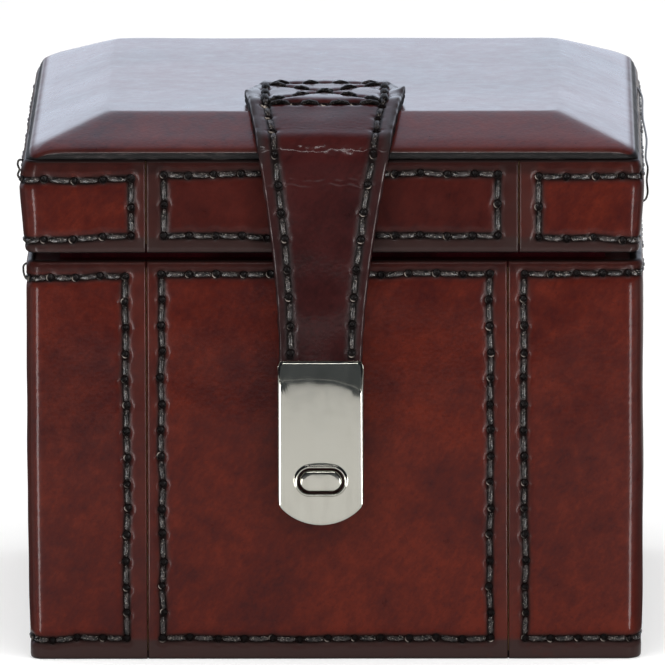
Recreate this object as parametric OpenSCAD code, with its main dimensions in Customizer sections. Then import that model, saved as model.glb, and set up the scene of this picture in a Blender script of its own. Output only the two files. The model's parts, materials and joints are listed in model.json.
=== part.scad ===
// Leather covered display box for a pocket watch: a near-cube wooden case with a hinged,
// bevelled lid, a tapering closing strap, a metal hasp with an oval push button, and a
// lift-out watch cushion. Millimetres, +Z up, front towards -Y, origin under the centre
// of the body.

/* [Body] */
// Width of the body over its leather
body_w = 98.8; // [90:0.2:110]
// Depth of the body over its leather
body_d = 98.8; // [90:0.2:110]
// Height of the body, from the table to its rim
body_h = 65.1; // [58:0.1:80]
// Thickness of the leather on body and lid walls
leather_t = 1.4; // [1:0.1:1.8]
// Radius of the upright corners over the leather
corner_r = 2.2; // [2:0.1:4]
// Thickness of the body's wooden boards
board_t = 4; // [3.6:0.1:5]
// Thickness of the leather glued under the floor
base_cover_t = 1.2; // [0.8:0.1:2]
// Thickness of the turned-in leather on the rims
rim_t = 1; // [0.6:0.1:1.4]
// Distance of the body's left seam from the middle
seam_left = 30; // [22:0.1:34]
// Distance of the body's right seam from the middle
seam_right = 28.3; // [22:0.1:34]
// Width of the butt seams between leather panels
seam_gap = 0.2; // [0.1:0.05:0.4]

/* [Lid] */
// How far the lid stands out past the body all round
lid_overhang = 0.6; // [0.3:0.1:1]
// Gap between the rims of body and lid
lid_gap = 2; // [1.9:0.1:2.4]
// Height of the lid's upright skirt
skirt_h = 14.6; // [12:0.1:20]
// Thickness of the lid's wooden walls
lid_board_t = 3.4; // [3.2:0.1:3.8]
// Thickness of the leather over the top, seen as a dark raw edge
top_leather_t = 1.6; // [1.2:0.1:2]
// How far the top leather's edge stays inside the skirt
top_inset = 1; // [0.6:0.1:1.4]
// Width of the bevels round the flat top, seen from above
bevel_w = 12.5; // [9:0.1:15]
// Height of the bevels
bevel_h = 4.4; // [3:0.1:6]
// Radius of the top leather's corners, seen from above
top_corner_r = 3; // [1.5:0.1:5]
// Distance of the lid's left seam from the middle
lid_seam_left = 30; // [22:0.1:34]
// Distance of the lid's right seam from the middle
lid_seam_right = 30.1; // [22:0.1:34]
// Thickness of the padding under the lid's top
lid_pad_t = 3; // [2:0.1:4]
// Thickness of the cloth on the lid's inner walls
lid_lining_t = 0.6; // [0.4:0.05:0.7]
// Angle to which the lid opens
lid_angle = 95; // [80:1:105]

/* [Lining and cushion] */
// Thickness of the velvet covered card round the inside
liner_t = 1; // [0.8:0.1:1.2]
// How far the card stands above the rim, to centre the lid
lip_h = 4; // [2.5:0.1:6]
// Thickness of the cloth on the floor
floor_liner_t = 0.8; // [0.5:0.1:1.2]
// Height of the compartment under the cushion
compartment_h = 24; // [15:0.5:26]
// Width of the rails that carry the cushion
rail_w = 4; // [3:0.5:6]
// Thickness of the cushion's board
insert_board_t = 3; // [2:0.1:4]
// Height of the cushion on its board
cushion_h = 24; // [16:0.5:25]
// Gap between the cushion and the card round it
insert_gap = 0.8; // [0.6:0.1:1.2]
// Radius of the cushion's upright corners
cushion_r = 5; // [3:0.5:8]
// Radius of the round bed for the watch
bed_r = 26; // [22:0.5:28]
// Depth of the watch bed
bed_depth = 12; // [9:0.5:13]
// How far the bed lies in front of the cushion's middle
bed_shift = 5; // [2:0.5:7]
// Width of the slot for the watch's bow and crown
bow_slot_w = 13; // [10:0.5:18]
// Length of the bow slot past the edge of the bed
bow_slot_l = 10; // [6:0.5:10]
// Depth of the bow slot
bow_slot_depth = 9; // [6:0.5:9]
// Radius of the finger notches beside the bed
finger_r = 8; // [6:0.5:9]
// Thickness of the pad in the bed
bed_pad_t = 1; // [0.6:0.1:1.5]
// Width of the pull ribbon
ribbon_w = 10; // [6:0.5:12]
// Thickness of the pull ribbon
ribbon_t = 0.4; // [0.3:0.05:0.5]
// Length of ribbon that lies on the cushion
ribbon_lie = 7; // [5:0.5:8]

/* [Strap] */
// Thickness of the whole strap
strap_t = 2.2; // [1.8:0.1:2.6]
// Thickness of the strap's backing leather
strap_backing_t = 0.8; // [0.6:0.1:1]
// Gap between the hanging strap and the lid's front
strap_gap = 0.6; // [0.5:0.1:1]
// Place of the strap's middle on the lid, left is negative
strap_x = -1.3; // [-6:0.1:6]
// Place of the middle of hasp and button, left is negative
hasp_x = -1.9; // [-6:0.1:6]
// Length of strap sewn down on the flat top
sewn_l = 18; // [14:0.5:24]
// Widest place of the strap, on the flat top
strap_wide_w = 26.1; // [23:0.1:28]
// Width of the strap's sewn back end
strap_back_w = 20.5; // [16:0.1:22]
// Distance of the widest place from the strap's back end
strap_flare_l = 9; // [6:0.5:12]
// Width of the strap where it bends over the lid's edge
strap_bend_w = 21.4; // [18:0.1:22.5]
// Width of the strap where it enters the hasp
strap_end_w = 13.3; // [11:0.1:13.6]
// How quickly the strap narrows: 1 is straight, more is a trumpet shape
strap_curve = 1.6; // [1:0.1:2.2]
// Clearance round the bend, where the leather flexes
flex_gap = 0.2; // [0.15:0.05:0.3]

/* [Hasp and button] */
// Width of the hasp plate
hasp_w = 13.9; // [13.8:0.1:16]
// Height of the hasp plate
hasp_h = 26.9; // [24:0.1:30]
// Thickness of the hasp plate
hasp_t = 0.9; // [0.6:0.1:1.2]
// Height of the hasp plate's top edge above the table
hasp_top = 49.6; // [44:0.1:54]
// Radius of the hasp plate's round bottom
hasp_bottom_r = 9; // [8.5:0.1:14]
// Height of the button's middle above the plate's lowest point
button_up = 7.4; // [6.5:0.1:10]
// Width of the button
button_w = 7; // [6:0.1:7.2]
// Height of the button
button_h = 3.6; // [3:0.1:4]
// Clearance round the button
button_gap = 0.3; // [0.2:0.05:0.4]
// Width of the raised rim round the button's hole
hasp_rim_w = 0.55; // [0.4:0.05:0.8]
// Height of the raised rim
hasp_rim_h = 0.4; // [0.3:0.05:0.6]
// How far the button stands in front of the plate
button_proud = 0.3; // [0.1:0.05:0.5]
// Travel of the button
button_travel = 1.5; // [1:0.1:1.5]
// Thickness of the plate that backs the strap's end
hasp_back_t = 0.4; // [0.3:0.05:0.5]
// Height of the plate that backs the strap's end
hasp_back_h = 10; // [8:0.5:12]
// Radius of the hasp's rivets
rivet_r = 1; // [0.8:0.05:1.2]
// Distance between the rivets
rivet_spacing = 7; // [5.5:0.1:7.5]
// Thickness of the catch's face plate on the body
catch_plate_t = 0.8; // [0.6:0.05:0.8]
// Width of the catch's face plate
catch_plate_w = 13.2; // [13:0.1:13.6]
// Height of the catch's face plate
catch_plate_h = 8.6; // [8:0.1:9.5]
// Outer radius of the catch's round case
catch_case_r = 4.1; // [4:0.05:4.2]
// Wall of the catch's case
catch_wall = 0.4; // [0.3:0.05:0.5]
// Thickness of the button's flange
flange_t = 0.8; // [0.6:0.05:0.9]
// Radius of the catch spring over its wire
spring_r = 2.4; // [2:0.1:2.8]
// Thickness of the spring's wire
spring_wire = 0.35; // [0.3:0.05:0.4]
// Number of the spring's turns
spring_turns = 3; // [2:1:3]

/* [Hinges and screws] */
// Distance of each hinge from the middle
hinge_x = 28; // [20:0.5:32]
// Width of each hinge
hinge_w = 16; // [14:0.5:20]
// Radius of the hinge's knuckles
knuckle_r = 1.4; // [1.3:0.05:1.5]
// Radius of the hinge pin
pin_r = 0.6; // [0.5:0.05:0.7]
// Clearance of the pin in the knuckles
pin_fit = 0.05; // [0.03:0.01:0.08]
// Thickness of the hinge's leaves
leaf_t = 0.8; // [0.7:0.05:0.8]
// Depth of the leaves in front of the pin
leaf_d = 6.6; // [6:0.1:6.8]
// Gap between the knuckles and the lid's back
knuckle_gap = 0.4; // [0.3:0.05:0.6]
// Gap between neighbouring knuckles
knuckle_side_gap = 0.2; // [0.15:0.05:0.3]
// Length of the stop tails, from the pin
tail_l = 4; // [3.4:0.1:4.6]
// Radius of the small screws' shanks
screw_r = 0.7; // [0.55:0.05:0.75]
// Radius of the small screws' heads
screw_head_r = 1.25; // [1.1:0.05:1.35]
// Length of the small screws
screw_l = 6; // [5:0.1:8]
// Clearance round the screws
screw_fit = 0.04; // [0.02:0.01:0.06]

/* [Hidden] */
$fn = 64;

// colours, as the leather, metal and cloth look
leather_col = "#5e2519";
strap_col = "#431a17";
edge_col = "#231a1a";
wood_col = "#b08a5a";
velvet_col = "#3b1216";
satin_col = "#8b1d24";
nickel_col = "#bdbbb0";
steel_col = "#8f9194";

// heights
floor_z = base_cover_t + board_t;
inside_z = floor_z + floor_liner_t;
rail_top = inside_z + compartment_h;
cushion_z = rail_top + insert_board_t;
cushion_top = cushion_z + cushion_h;
bed_z = cushion_top - bed_depth;
lid_z = body_h + lid_gap;
skirt_z = lid_z + skirt_h;
top_z = skirt_z + top_leather_t + bevel_h;
lip_top = body_h + lip_h;
catch_z = hasp_top - hasp_h + button_up;

// half widths and half depths
board_x = body_w / 2 - leather_t;
board_y = body_d / 2 - leather_t;
inner_x = board_x - board_t;
inner_y = board_y - board_t;
lined_x = inner_x - liner_t;
lined_y = inner_y - liner_t;
insert_x = lined_x - insert_gap;
insert_y = lined_y - insert_gap;
lid_w = body_w + 2 * lid_overhang;
lid_d = body_d + 2 * lid_overhang;
lid_board_x = lid_w / 2 - leather_t;
lid_board_y = lid_d / 2 - leather_t;
lid_inner_x = lid_board_x - lid_board_t;
lid_inner_y = lid_board_y - lid_board_t;
rim_x = lid_w / 2 - top_inset;
rim_y = lid_d / 2 - top_inset;
flat_y = rim_y - bevel_w;
big = 3 * max(body_w, body_d, body_h);

// the bevels, and the board that the top leather is shaped over
bevel_a = atan(bevel_h / bevel_w);
board_in = 1;
hip_edge = top_leather_t * (1 - 1 / cos(bevel_a)) + board_in * tan(bevel_a);
hip_inset = (skirt_z + hip_edge - (top_z - top_leather_t)) / -tan(bevel_a);

// the strap's layers, from the lid outwards, and the line it bends about
strap_in_y = -lid_d / 2 - strap_gap;
strap_out_y = strap_in_y - strap_t;
plate_y = strap_out_y - hasp_t;
bend_y = strap_in_y - strap_t / 2;
bend_z = top_z - (-flat_y - bend_y) * tan(bevel_a) + strap_t / 2 / cos(bevel_a);
bend_cut_r = strap_t / 2 + flex_gap;
strap_back_y = -flat_y + sewn_l;
end_inset = 1.2;
strap_end_z = hasp_top - hasp_h + end_inset;
strap_steps = 10;

// the catch, from the body's face inwards
catch_y = -body_d / 2;
stop_gap = 0.1;
case_back_gap = 0.3;
case_depth = leather_t + board_t - case_back_gap;
case_end_t = 0.6;
flange_y = catch_y + stop_gap;
flange_r = catch_case_r - catch_wall - 0.15;
spring_y0 = flange_y + flange_t;
spring_y1 = catch_y + case_depth - case_end_t;
catch_screw_x = catch_case_r + screw_r + 0.45;
catch_screw_l = leather_t + board_t - 0.6;

// the hinge line
hinge_y = lid_d / 2 + knuckle_gap + knuckle_r;
hinge_z = body_h + lid_gap / 2;
leaf_clear = 0.3;
knuckle_w = (hinge_w - 2 * knuckle_side_gap) / 3;
hinge_screw_y = hinge_y - leaf_d + 1.6;
hinge_screw_x = hinge_w / 2 - 3;
tail_gap = 0.2;
tail_root_r = (pin_r + pin_fit + knuckle_r) / 2;

// ---- shapes that several pieces share ----

// A block between its lowest and its highest corner
module block(lo, hi) {
    translate(lo) cube(hi - lo);
}

// A rectangle with round corners, centred
module round_plan(w, d, r) {
    square([w - 2 * r, d], center = true);
    square([w, d - 2 * r], center = true);
    for (sx = [-1, 1], sy = [-1, 1])
        translate([sx * (w / 2 - r), sy * (d / 2 - r)]) circle(r);
}

// An upright prism on that rectangle
module round_box(w, d, r, z0, z1) {
    translate([0, 0, z0]) linear_extrude(z1 - z0) round_plan(w, d, r);
}

// A bar with round ends, seen from the front, between two depths
module oval_bar(w, h, y0, y1) {
    translate([hasp_x, y1, catch_z]) rotate([90, 0, 0]) linear_extrude(y1 - y0) {
        square([w - h, h], center = true);
        for (s = [-1, 1])
            translate([s * (w - h) / 2, 0]) circle(h / 2);
    }
}

// A rod along the depth, at a point seen from the front
module rod_y(x, z, r, y0, y1) {
    translate([x, y1, z]) rotate([90, 0, 0]) cylinder(h = y1 - y0, r = r);
}

// A rod along the width
module rod_x(x0, x1, y, z, r) {
    translate([x0, y, z]) rotate([0, 90, 0]) cylinder(h = x1 - x0, r = r);
}

// The leather round a box, as one sleeve
module sleeve(w, d, z0, z1) {
    difference() {
        round_box(w, d, corner_r, z0, z1);
        round_box(w - 2 * leather_t, d - 2 * leather_t, corner_r - leather_t, z0 - 1, z1 + 1);
    }
}

// The flat panel of a sleeve between the seams, side -1 in front and 1 at the back
module sleeve_panel(w, d, z0, z1, left, right, side) {
    x0 = -left + seam_gap / 2;
    x1 = right - seam_gap / 2;
    y1 = side * d / 2;
    y0 = y1 - side * leather_t;
    block([x0, min(y0, y1), z0], [x1, max(y0, y1), z1]);
}

// The part of a sleeve past a seam, side -1 to the left and 1 to the right
module sleeve_wrap(w, d, z0, z1, seam, side) {
    x0 = side * (seam + seam_gap / 2);
    x1 = side * w;
    intersection() {
        sleeve(w, d, z0, z1);
        block([min(x0, x1), -d, z0 - 2], [max(x0, x1), d, z1 + 2]);
    }
}

// A front or back wall over the whole width, with its outer corners round
module long_wall(hx, hy, t, z0, z1, side) {
    y1 = side * (hy + 1);
    y0 = side * (hy - t);
    intersection() {
        round_box(2 * hx, 2 * hy, corner_r - leather_t, z0, z1);
        block([-big, min(y0, y1), z0 - 1], [big, max(y0, y1), z1 + 1]);
    }
}

// A side wall that stands between them
module short_wall(hx, hy, t, z0, z1, side) {
    x1 = side * hx;
    x0 = x1 - side * t;
    block([min(x0, x1), -hy + t, z0], [max(x0, x1), hy - t, z1]);
}

// The same four strips, as the facing of a rim
module rim_strips(hx, hy, t, z0, z1) {
    for (side = [-1, 1]) {
        long_wall(hx, hy, t, z0, z1, side);
        short_wall(hx, hy, t, z0, z1, side);
    }
}

// The outline of a box with an upright edge and bevels to a flat top
function hip_outline(half, z0, edge, z1, inset) = [
    [-half, z0], [half, z0], [half, z0 + edge], [half - inset, z1],
    [inset - half, z1], [-half, z0 + edge]
];

// A bevelled top, with its plan's corners round
module hipped(hx, hy, z0, edge, z1, inset, r) {
    intersection() {
        translate([0, hy + 1, 0]) rotate([90, 0, 0]) linear_extrude(2 * hy + 2)
            polygon(hip_outline(hx, z0, edge, z1, inset));
        translate([-hx - 1, 0, 0]) rotate([90, 0, 90]) linear_extrude(2 * hx + 2)
            polygon(hip_outline(hy, z0, edge, z1, inset));
        round_box(2 * hx, 2 * hy, r, z0 - 1, z1 + 1);
    }
}

// A flush screw: up is 1 when its head is at the top, and grow widens it into its hole,
// which is then open above the head too
module flush_screw(x, y, z, up, grow) {
    head_h = 0.75 * leaf_t;
    above = grow > 0 ? 1 : 0;
    r = screw_r + grow;
    head_r = screw_head_r + grow;
    side = [[head_r, 0], [r, head_h], [r, screw_l + grow], [0, screw_l + grow]];
    top = above > 0 ? [[0, -above], [head_r, -above]] : [[0, 0]];
    translate([x, y, z]) mirror([0, 0, up > 0 ? 1 : 0])
        rotate_extrude() polygon(concat(top, side));
}

// ---- body ----

module base_cover() {
    color(edge_col) round_box(2 * board_x, 2 * board_y, corner_r - leather_t, 0, base_cover_t);
}

module floor_board() {
    color(wood_col)
        round_box(2 * board_x, 2 * board_y, corner_r - leather_t, base_cover_t, floor_z);
}

// The front wall is bored for the catch and its screws
module front_board() {
    color(wood_col) difference() {
        long_wall(board_x, board_y, board_t, floor_z, body_h - rim_t, -1);
        rod_y(hasp_x, catch_z, catch_case_r + screw_fit, -big, -board_y + board_t + 1);
        catch_screw_bodies(screw_fit);
    }
}

module back_board() {
    color(wood_col) difference() {
        long_wall(board_x, board_y, board_t, floor_z, body_h - rim_t, 1);
        body_screw_bodies(screw_fit);
    }
}

module left_board() {
    color(wood_col) short_wall(board_x, board_y, board_t, floor_z, body_h - rim_t, -1);
}

module right_board() {
    color(wood_col) short_wall(board_x, board_y, board_t, floor_z, body_h - rim_t, 1);
}

module body_rim() {
    color(leather_col) difference() {
        rim_strips(board_x, board_y, board_t, body_h - rim_t, body_h);
        body_screw_bodies(screw_fit);
    }
}

module front_panel() {
    color(leather_col) difference() {
        sleeve_panel(body_w, body_d, 0, body_h, seam_left, seam_right, -1);
        rod_y(hasp_x, catch_z, catch_case_r + screw_fit, -big, 0);
        catch_screw_bodies(screw_fit);
    }
}

module back_panel() {
    color(leather_col) sleeve_panel(body_w, body_d, 0, body_h, seam_left, seam_right, 1);
}

module left_wrap() {
    color(leather_col) sleeve_wrap(body_w, body_d, 0, body_h, seam_left, -1);
}

module right_wrap() {
    color(leather_col) sleeve_wrap(body_w, body_d, 0, body_h, seam_right, 1);
}

// ---- lining of the body: card that also stands up as a lip inside the lid ----

module liner_front() {
    color(velvet_col)
        block([-inner_x, -inner_y, inside_z], [inner_x, -lined_y, lip_top]);
}

module liner_back() {
    color(velvet_col)
        block([-inner_x, lined_y, inside_z], [inner_x, inner_y, lip_top]);
}

module liner_left() {
    color(velvet_col)
        block([-inner_x, -lined_y, inside_z], [-lined_x, lined_y, lip_top]);
}

module liner_right() {
    color(velvet_col)
        block([lined_x, -lined_y, inside_z], [inner_x, lined_y, lip_top]);
}

module floor_liner() {
    color(velvet_col) block([-inner_x, -inner_y, floor_z], [inner_x, inner_y, inside_z]);
}

module insert_rails() {
    color(wood_col) for (s = [-1, 1])
        block([s > 0 ? lined_x - rail_w : -lined_x, -lined_y, inside_z],
            [s > 0 ? lined_x : -lined_x + rail_w, lined_y, rail_top]);
}

// ---- catch ----

module catch_screw_bodies(grow) {
    for (s = [-1, 1]) {
        x = hasp_x + s * catch_screw_x;
        rod_y(x, catch_z, screw_r + grow, catch_y - catch_plate_t, catch_y + catch_screw_l + grow);
    }
}

module catch_plate() {
    color(nickel_col) difference() {
        oval_bar(catch_plate_w, catch_plate_h, catch_y - catch_plate_t, catch_y);
        oval_bar(button_w + 2 * button_gap, button_h + 2 * button_gap, -big, 0);
        catch_screw_bodies(screw_fit);
    }
}

module catch_case() {
    color(steel_col) difference() {
        rod_y(hasp_x, catch_z, catch_case_r, catch_y, catch_y + case_depth);
        rod_y(hasp_x, catch_z, catch_case_r - catch_wall, catch_y - 1, spring_y1);
    }
}

module catch_screws() {
    color(nickel_col) catch_screw_bodies(0);
}

module catch_button() {
    color(nickel_col) {
        oval_bar(button_w, button_h, plate_y - button_proud, flange_y + flange_t);
        rod_y(hasp_x, catch_z, flange_r, flange_y, flange_y + flange_t);
        rod_y(hasp_x, catch_z, spring_r - spring_wire - 0.3, flange_y,
            spring_y1 - button_travel - 0.2);
    }
}

// One ring of points round the wire, at a share f of the spring's length
function coil_ring(f, sides) = let (
    a = 360 * spring_turns * f,
    r = spring_r - spring_wire / 2,
    y = spring_y0 + spring_wire / 2 + f * (spring_y1 - spring_y0 - spring_wire)
) [for (i = [0 : sides - 1]) let (b = 360 * i / sides) [
    hasp_x + (r + spring_wire / 2 * cos(b)) * cos(a),
    y + spring_wire / 2 * sin(b),
    catch_z + (r + spring_wire / 2 * cos(b)) * sin(a)
]];

// A coil spring of round wire, as one swept tube
module button_spring() {
    sides = 6;
    rings = 16 * spring_turns;
    points = [for (k = [0 : rings]) each coil_ring(k / rings, sides)];
    walls = [for (k = [0 : rings - 1], i = [0 : sides - 1]) let (j = (i + 1) % sides)
        each [[k * sides + i, (k + 1) * sides + i, (k + 1) * sides + j],
            [k * sides + i, (k + 1) * sides + j, k * sides + j]]];
    first = [for (i = [1 : sides - 2]) [0, i, i + 1]];
    last = [for (i = [1 : sides - 2]) [rings * sides, rings * sides + i + 1, rings * sides + i]];
    color(steel_col) polyhedron(points, concat(walls, first, last));
}

// ---- hinges ----

// A stop tail behind the pin, side 1 on the lid and -1 on the body
module stop_tail(x0, x1, r0, side) {
    translate([0, hinge_y, hinge_z]) rotate([side * lid_angle / 2, 0, 0])
        block([x0, r0, side > 0 ? tail_gap / 2 : -tail_gap / 2 - leaf_t],
            [x1, tail_l, side > 0 ? tail_gap / 2 + leaf_t : -tail_gap / 2]);
}

// The flat leaf in front of the pin and the strip that joins it to a knuckle
module leaf(x, z0, strips) {
    front_y = hinge_y - leaf_d;
    edge_y = hinge_y - knuckle_r - leaf_clear;
    block([x - hinge_w / 2, front_y, z0], [x + hinge_w / 2, edge_y, z0 + leaf_t]);
    for (s = strips)
        block([x + s[0], edge_y, z0], [x + s[1], hinge_y, z0 + leaf_t]);
}

// The places of the knuckles along a hinge: the outer two on the body, the middle one on the lid
outer_knuckles = [
    [-hinge_w / 2, -hinge_w / 2 + knuckle_w],
    [hinge_w / 2 - knuckle_w, hinge_w / 2]
];
middle_knuckle = [[-knuckle_w / 2, knuckle_w / 2]];

module pin_bore(x) {
    rod_x(x - hinge_w, x + hinge_w, hinge_y, hinge_z, pin_r + pin_fit);
}

module hinge_body_leaves() {
    color(nickel_col) for (x = [-hinge_x, hinge_x]) difference() {
        union() {
            leaf(x, body_h, outer_knuckles);
            for (k = outer_knuckles) {
                rod_x(x + k[0], x + k[1], hinge_y, hinge_z, knuckle_r);
                stop_tail(x + k[0], x + k[1], tail_root_r, -1);
            }
            stop_tail(x - hinge_w / 2, x + hinge_w / 2, knuckle_r + leaf_clear, -1);
        }
        pin_bore(x);
        body_screw_bodies(screw_fit);
    }
}

module hinge_lid_leaves() {
    color(nickel_col) for (x = [-hinge_x, hinge_x]) difference() {
        union() {
            leaf(x, lid_z - leaf_t, middle_knuckle);
            for (k = middle_knuckle) {
                rod_x(x + k[0], x + k[1], hinge_y, hinge_z, knuckle_r);
                stop_tail(x + k[0], x + k[1], tail_root_r, 1);
            }
        }
        pin_bore(x);
        lid_screw_bodies(screw_fit);
    }
}

module hinge_pins() {
    color(steel_col) for (x = [-hinge_x, hinge_x])
        rod_x(x - hinge_w / 2, x + hinge_w / 2, hinge_y, hinge_z, pin_r);
}

module body_screw_bodies(grow) {
    for (x = [-hinge_x, hinge_x], s = [-1, 1])
        flush_screw(x + s * hinge_screw_x, hinge_screw_y, body_h + leaf_t, 1, grow);
}

module lid_screw_bodies(grow) {
    for (x = [-hinge_x, hinge_x], s = [-1, 1])
        flush_screw(x + s * hinge_screw_x, hinge_screw_y, lid_z - leaf_t, -1, grow);
}

module hinge_body_screws() {
    color(nickel_col) body_screw_bodies(0);
}

module hinge_lid_screws() {
    color(nickel_col) lid_screw_bodies(0);
}

// ---- lid ----

module lid_front_board() {
    color(wood_col)
        long_wall(lid_board_x, lid_board_y, lid_board_t, lid_z + rim_t, skirt_z, -1);
}

module lid_back_board() {
    color(wood_col) difference() {
        long_wall(lid_board_x, lid_board_y, lid_board_t, lid_z + rim_t, skirt_z, 1);
        lid_screw_bodies(screw_fit);
    }
}

module lid_left_board() {
    color(wood_col)
        short_wall(lid_board_x, lid_board_y, lid_board_t, lid_z + rim_t, skirt_z, -1);
}

module lid_right_board() {
    color(wood_col)
        short_wall(lid_board_x, lid_board_y, lid_board_t, lid_z + rim_t, skirt_z, 1);
}

module lid_rim() {
    color(leather_col) difference() {
        rim_strips(lid_board_x, lid_board_y, lid_board_t, lid_z, lid_z + rim_t);
        lid_screw_bodies(screw_fit);
    }
}

// The board under the top leather, bevelled like it
module hip_board() {
    hipped(rim_x - board_in, rim_y - board_in, skirt_z, hip_edge, top_z - top_leather_t,
        hip_inset, top_corner_r - board_in);
}

module lid_top_board() {
    color(wood_col) hip_board();
}

module lid_top_leather() {
    color(leather_col) difference() {
        hipped(rim_x, rim_y, skirt_z, top_leather_t, top_z, bevel_w, top_corner_r);
        hip_board();
    }
}

module lid_front_panel() {
    color(leather_col)
        sleeve_panel(lid_w, lid_d, lid_z, skirt_z, lid_seam_left, lid_seam_right, -1);
}

module lid_back_panel() {
    color(leather_col)
        sleeve_panel(lid_w, lid_d, lid_z, skirt_z, lid_seam_left, lid_seam_right, 1);
}

module lid_left_wrap() {
    color(leather_col) sleeve_wrap(lid_w, lid_d, lid_z, skirt_z, lid_seam_left, -1);
}

module lid_right_wrap() {
    color(leather_col) sleeve_wrap(lid_w, lid_d, lid_z, skirt_z, lid_seam_right, 1);
}

module lid_pad() {
    color(velvet_col) block([-lid_inner_x, -lid_inner_y, skirt_z - lid_pad_t],
        [lid_inner_x, lid_inner_y, skirt_z]);
}

module lid_side_lining() {
    color(velvet_col)
        rim_strips_square(lid_inner_x, lid_inner_y, lid_lining_t, lid_z, skirt_z - lid_pad_t);
}

// Four plain strips round the inside of a box
module rim_strips_square(hx, hy, t, z0, z1) {
    for (s = [-1, 1]) {
        block([-hx, min(s * hy, s * (hy - t)), z0], [hx, max(s * hy, s * (hy - t)), z1]);
        block([min(s * hx, s * (hx - t)), t - hy, z0], [max(s * hx, s * (hx - t)), hy - t, z1]);
    }
}

// ---- strap ----

// The strap's half width on its hanging part, at a height
function hang_half(z) = let (f = max(0, min(1, (z - hasp_top) / (bend_z - hasp_top))))
    (strap_end_w + (strap_bend_w - strap_end_w) * pow(f, strap_curve)) / 2;

// The place of the strap's middle there
function hang_mid(z) = let (f = max(0, min(1, (z - hasp_top) / (bend_z - hasp_top))))
    hasp_x + (strap_x - hasp_x) * f;

// The hanging part's outline, seen from the front: straight behind the hasp plate, with a
// round bottom like the plate's, and widening from the hasp up to the bend
module hang_outline() {
    zs = [for (i = [0 : strap_steps])
        hasp_top + (bend_z - hasp_top) * i / strap_steps];
    top = bend_z + strap_t;
    r = hasp_bottom_r - end_inset;
    end_a = asin(strap_end_w / 2 / r);
    bottom = [for (i = [strap_steps : -1 : -strap_steps]) let (a = end_a * i / strap_steps)
        [hasp_x + r * sin(a), strap_end_z + r * (1 - cos(a))]];
    left = [for (z = zs) [hang_mid(z) - hang_half(z), z]];
    right = [for (i = [strap_steps : -1 : 0]) [hang_mid(zs[i]) + hang_half(zs[i]), zs[i]]];
    polygon(concat(bottom, left, [[strap_x - strap_bend_w / 2, top],
        [strap_x + strap_bend_w / 2, top]], right));
}

// A layer of the hanging strap between two depths
module hanging_layer(y0, y1) {
    translate([0, y1, 0]) rotate([90, 0, 0]) linear_extrude(y1 - y0) hang_outline();
}

module button_way() {
    oval_bar(button_w + 4 * button_gap, button_h + 4 * button_gap, -big, 0);
}

module rivet_bodies() {
    for (s = [-1, 1]) {
        x = hasp_x + s * rivet_spacing / 2;
        rod_y(x, hasp_top - hasp_back_h / 2 - 1, rivet_r, strap_out_y, strap_in_y);
        rod_y(x, hasp_top - hasp_back_h / 2 - 1, rivet_r * 1.5, strap_in_y, strap_in_y + 0.25);
    }
}

module back_plate_body() {
    w = strap_end_w - 1;
    z0 = hasp_top - hasp_back_h - 1;
    block([hasp_x - w / 2, strap_in_y - hasp_back_t, z0],
        [hasp_x + w / 2, strap_in_y, z0 + hasp_back_h]);
}

// The outer leather, with the round head that the strap bends about
module strap_tail() {
    color(strap_col) difference() {
        intersection() {
            union() {
                rod_x(-body_w, body_w, bend_y, bend_z, strap_t / 2);
                block([-body_w, strap_out_y, 0], [body_w, strap_in_y - strap_backing_t, bend_z]);
            }
            hanging_layer(strap_out_y - 1, strap_in_y + 1);
        }
        button_way();
        rivet_bodies();
    }
}

module strap_backing() {
    color(strap_col) difference() {
        intersection() {
            hanging_layer(strap_in_y - strap_backing_t, strap_in_y);
            block([-body_w, -big, 0], [body_w, 0, bend_z - strap_t / 2]);
        }
        button_way();
        rivet_bodies();
        back_plate_body();
    }
}

// The plan of the part that is sewn to the lid
module anchor_plan() {
    wide_y = strap_back_y - strap_flare_l;
    back = strap_back_w / 2;
    wide = strap_wide_w / 2;
    bend = strap_bend_w / 2;
    translate([strap_x, 0]) polygon([
        [-back, strap_back_y], [back, strap_back_y], [wide, wide_y],
        [bend, bend_y], [bend, bend_y - strap_t], [-bend, bend_y - strap_t],
        [-bend, bend_y], [-wide, wide_y]
    ]);
}

// The part on the lid: flat on the top, then down the front bevel to the bend
module strap_anchor() {
    reach = (-flat_y - bend_y) / cos(bevel_a) - strap_t / 2 * tan(bevel_a);
    down = [-cos(bevel_a), -sin(bevel_a)];
    out = [-sin(bevel_a), cos(bevel_a)];
    edge = [-flat_y, top_z];
    low = edge + reach * down;
    mitre = edge + [-strap_t * tan(bevel_a / 2), strap_t];
    color(strap_col) difference() {
        intersection() {
            translate([-body_w, 0, 0]) rotate([90, 0, 90]) linear_extrude(2 * body_w)
                polygon([
                    [strap_back_y, top_z], edge, low, low + strap_t * out,
                    mitre, [strap_back_y, top_z + strap_t]
                ]);
            translate([0, 0, body_h]) linear_extrude(big) anchor_plan();
        }
        rod_x(-body_w, body_w, bend_y, bend_z, bend_cut_r);
        block([-body_w, -big, 0], [body_w, strap_in_y + flex_gap, bend_z]);
    }
}

// ---- hasp ----

module hasp_outline() {
    bottom = hasp_top - hasp_h;
    translate([hasp_x, 0]) intersection() {
        translate([-hasp_w / 2, bottom]) square([hasp_w, hasp_h]);
        union() {
            translate([0, bottom + hasp_bottom_r]) circle(hasp_bottom_r, $fn = 128);
            translate([-hasp_w, bottom + hasp_bottom_r]) square([2 * hasp_w, big]);
        }
    }
}

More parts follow.
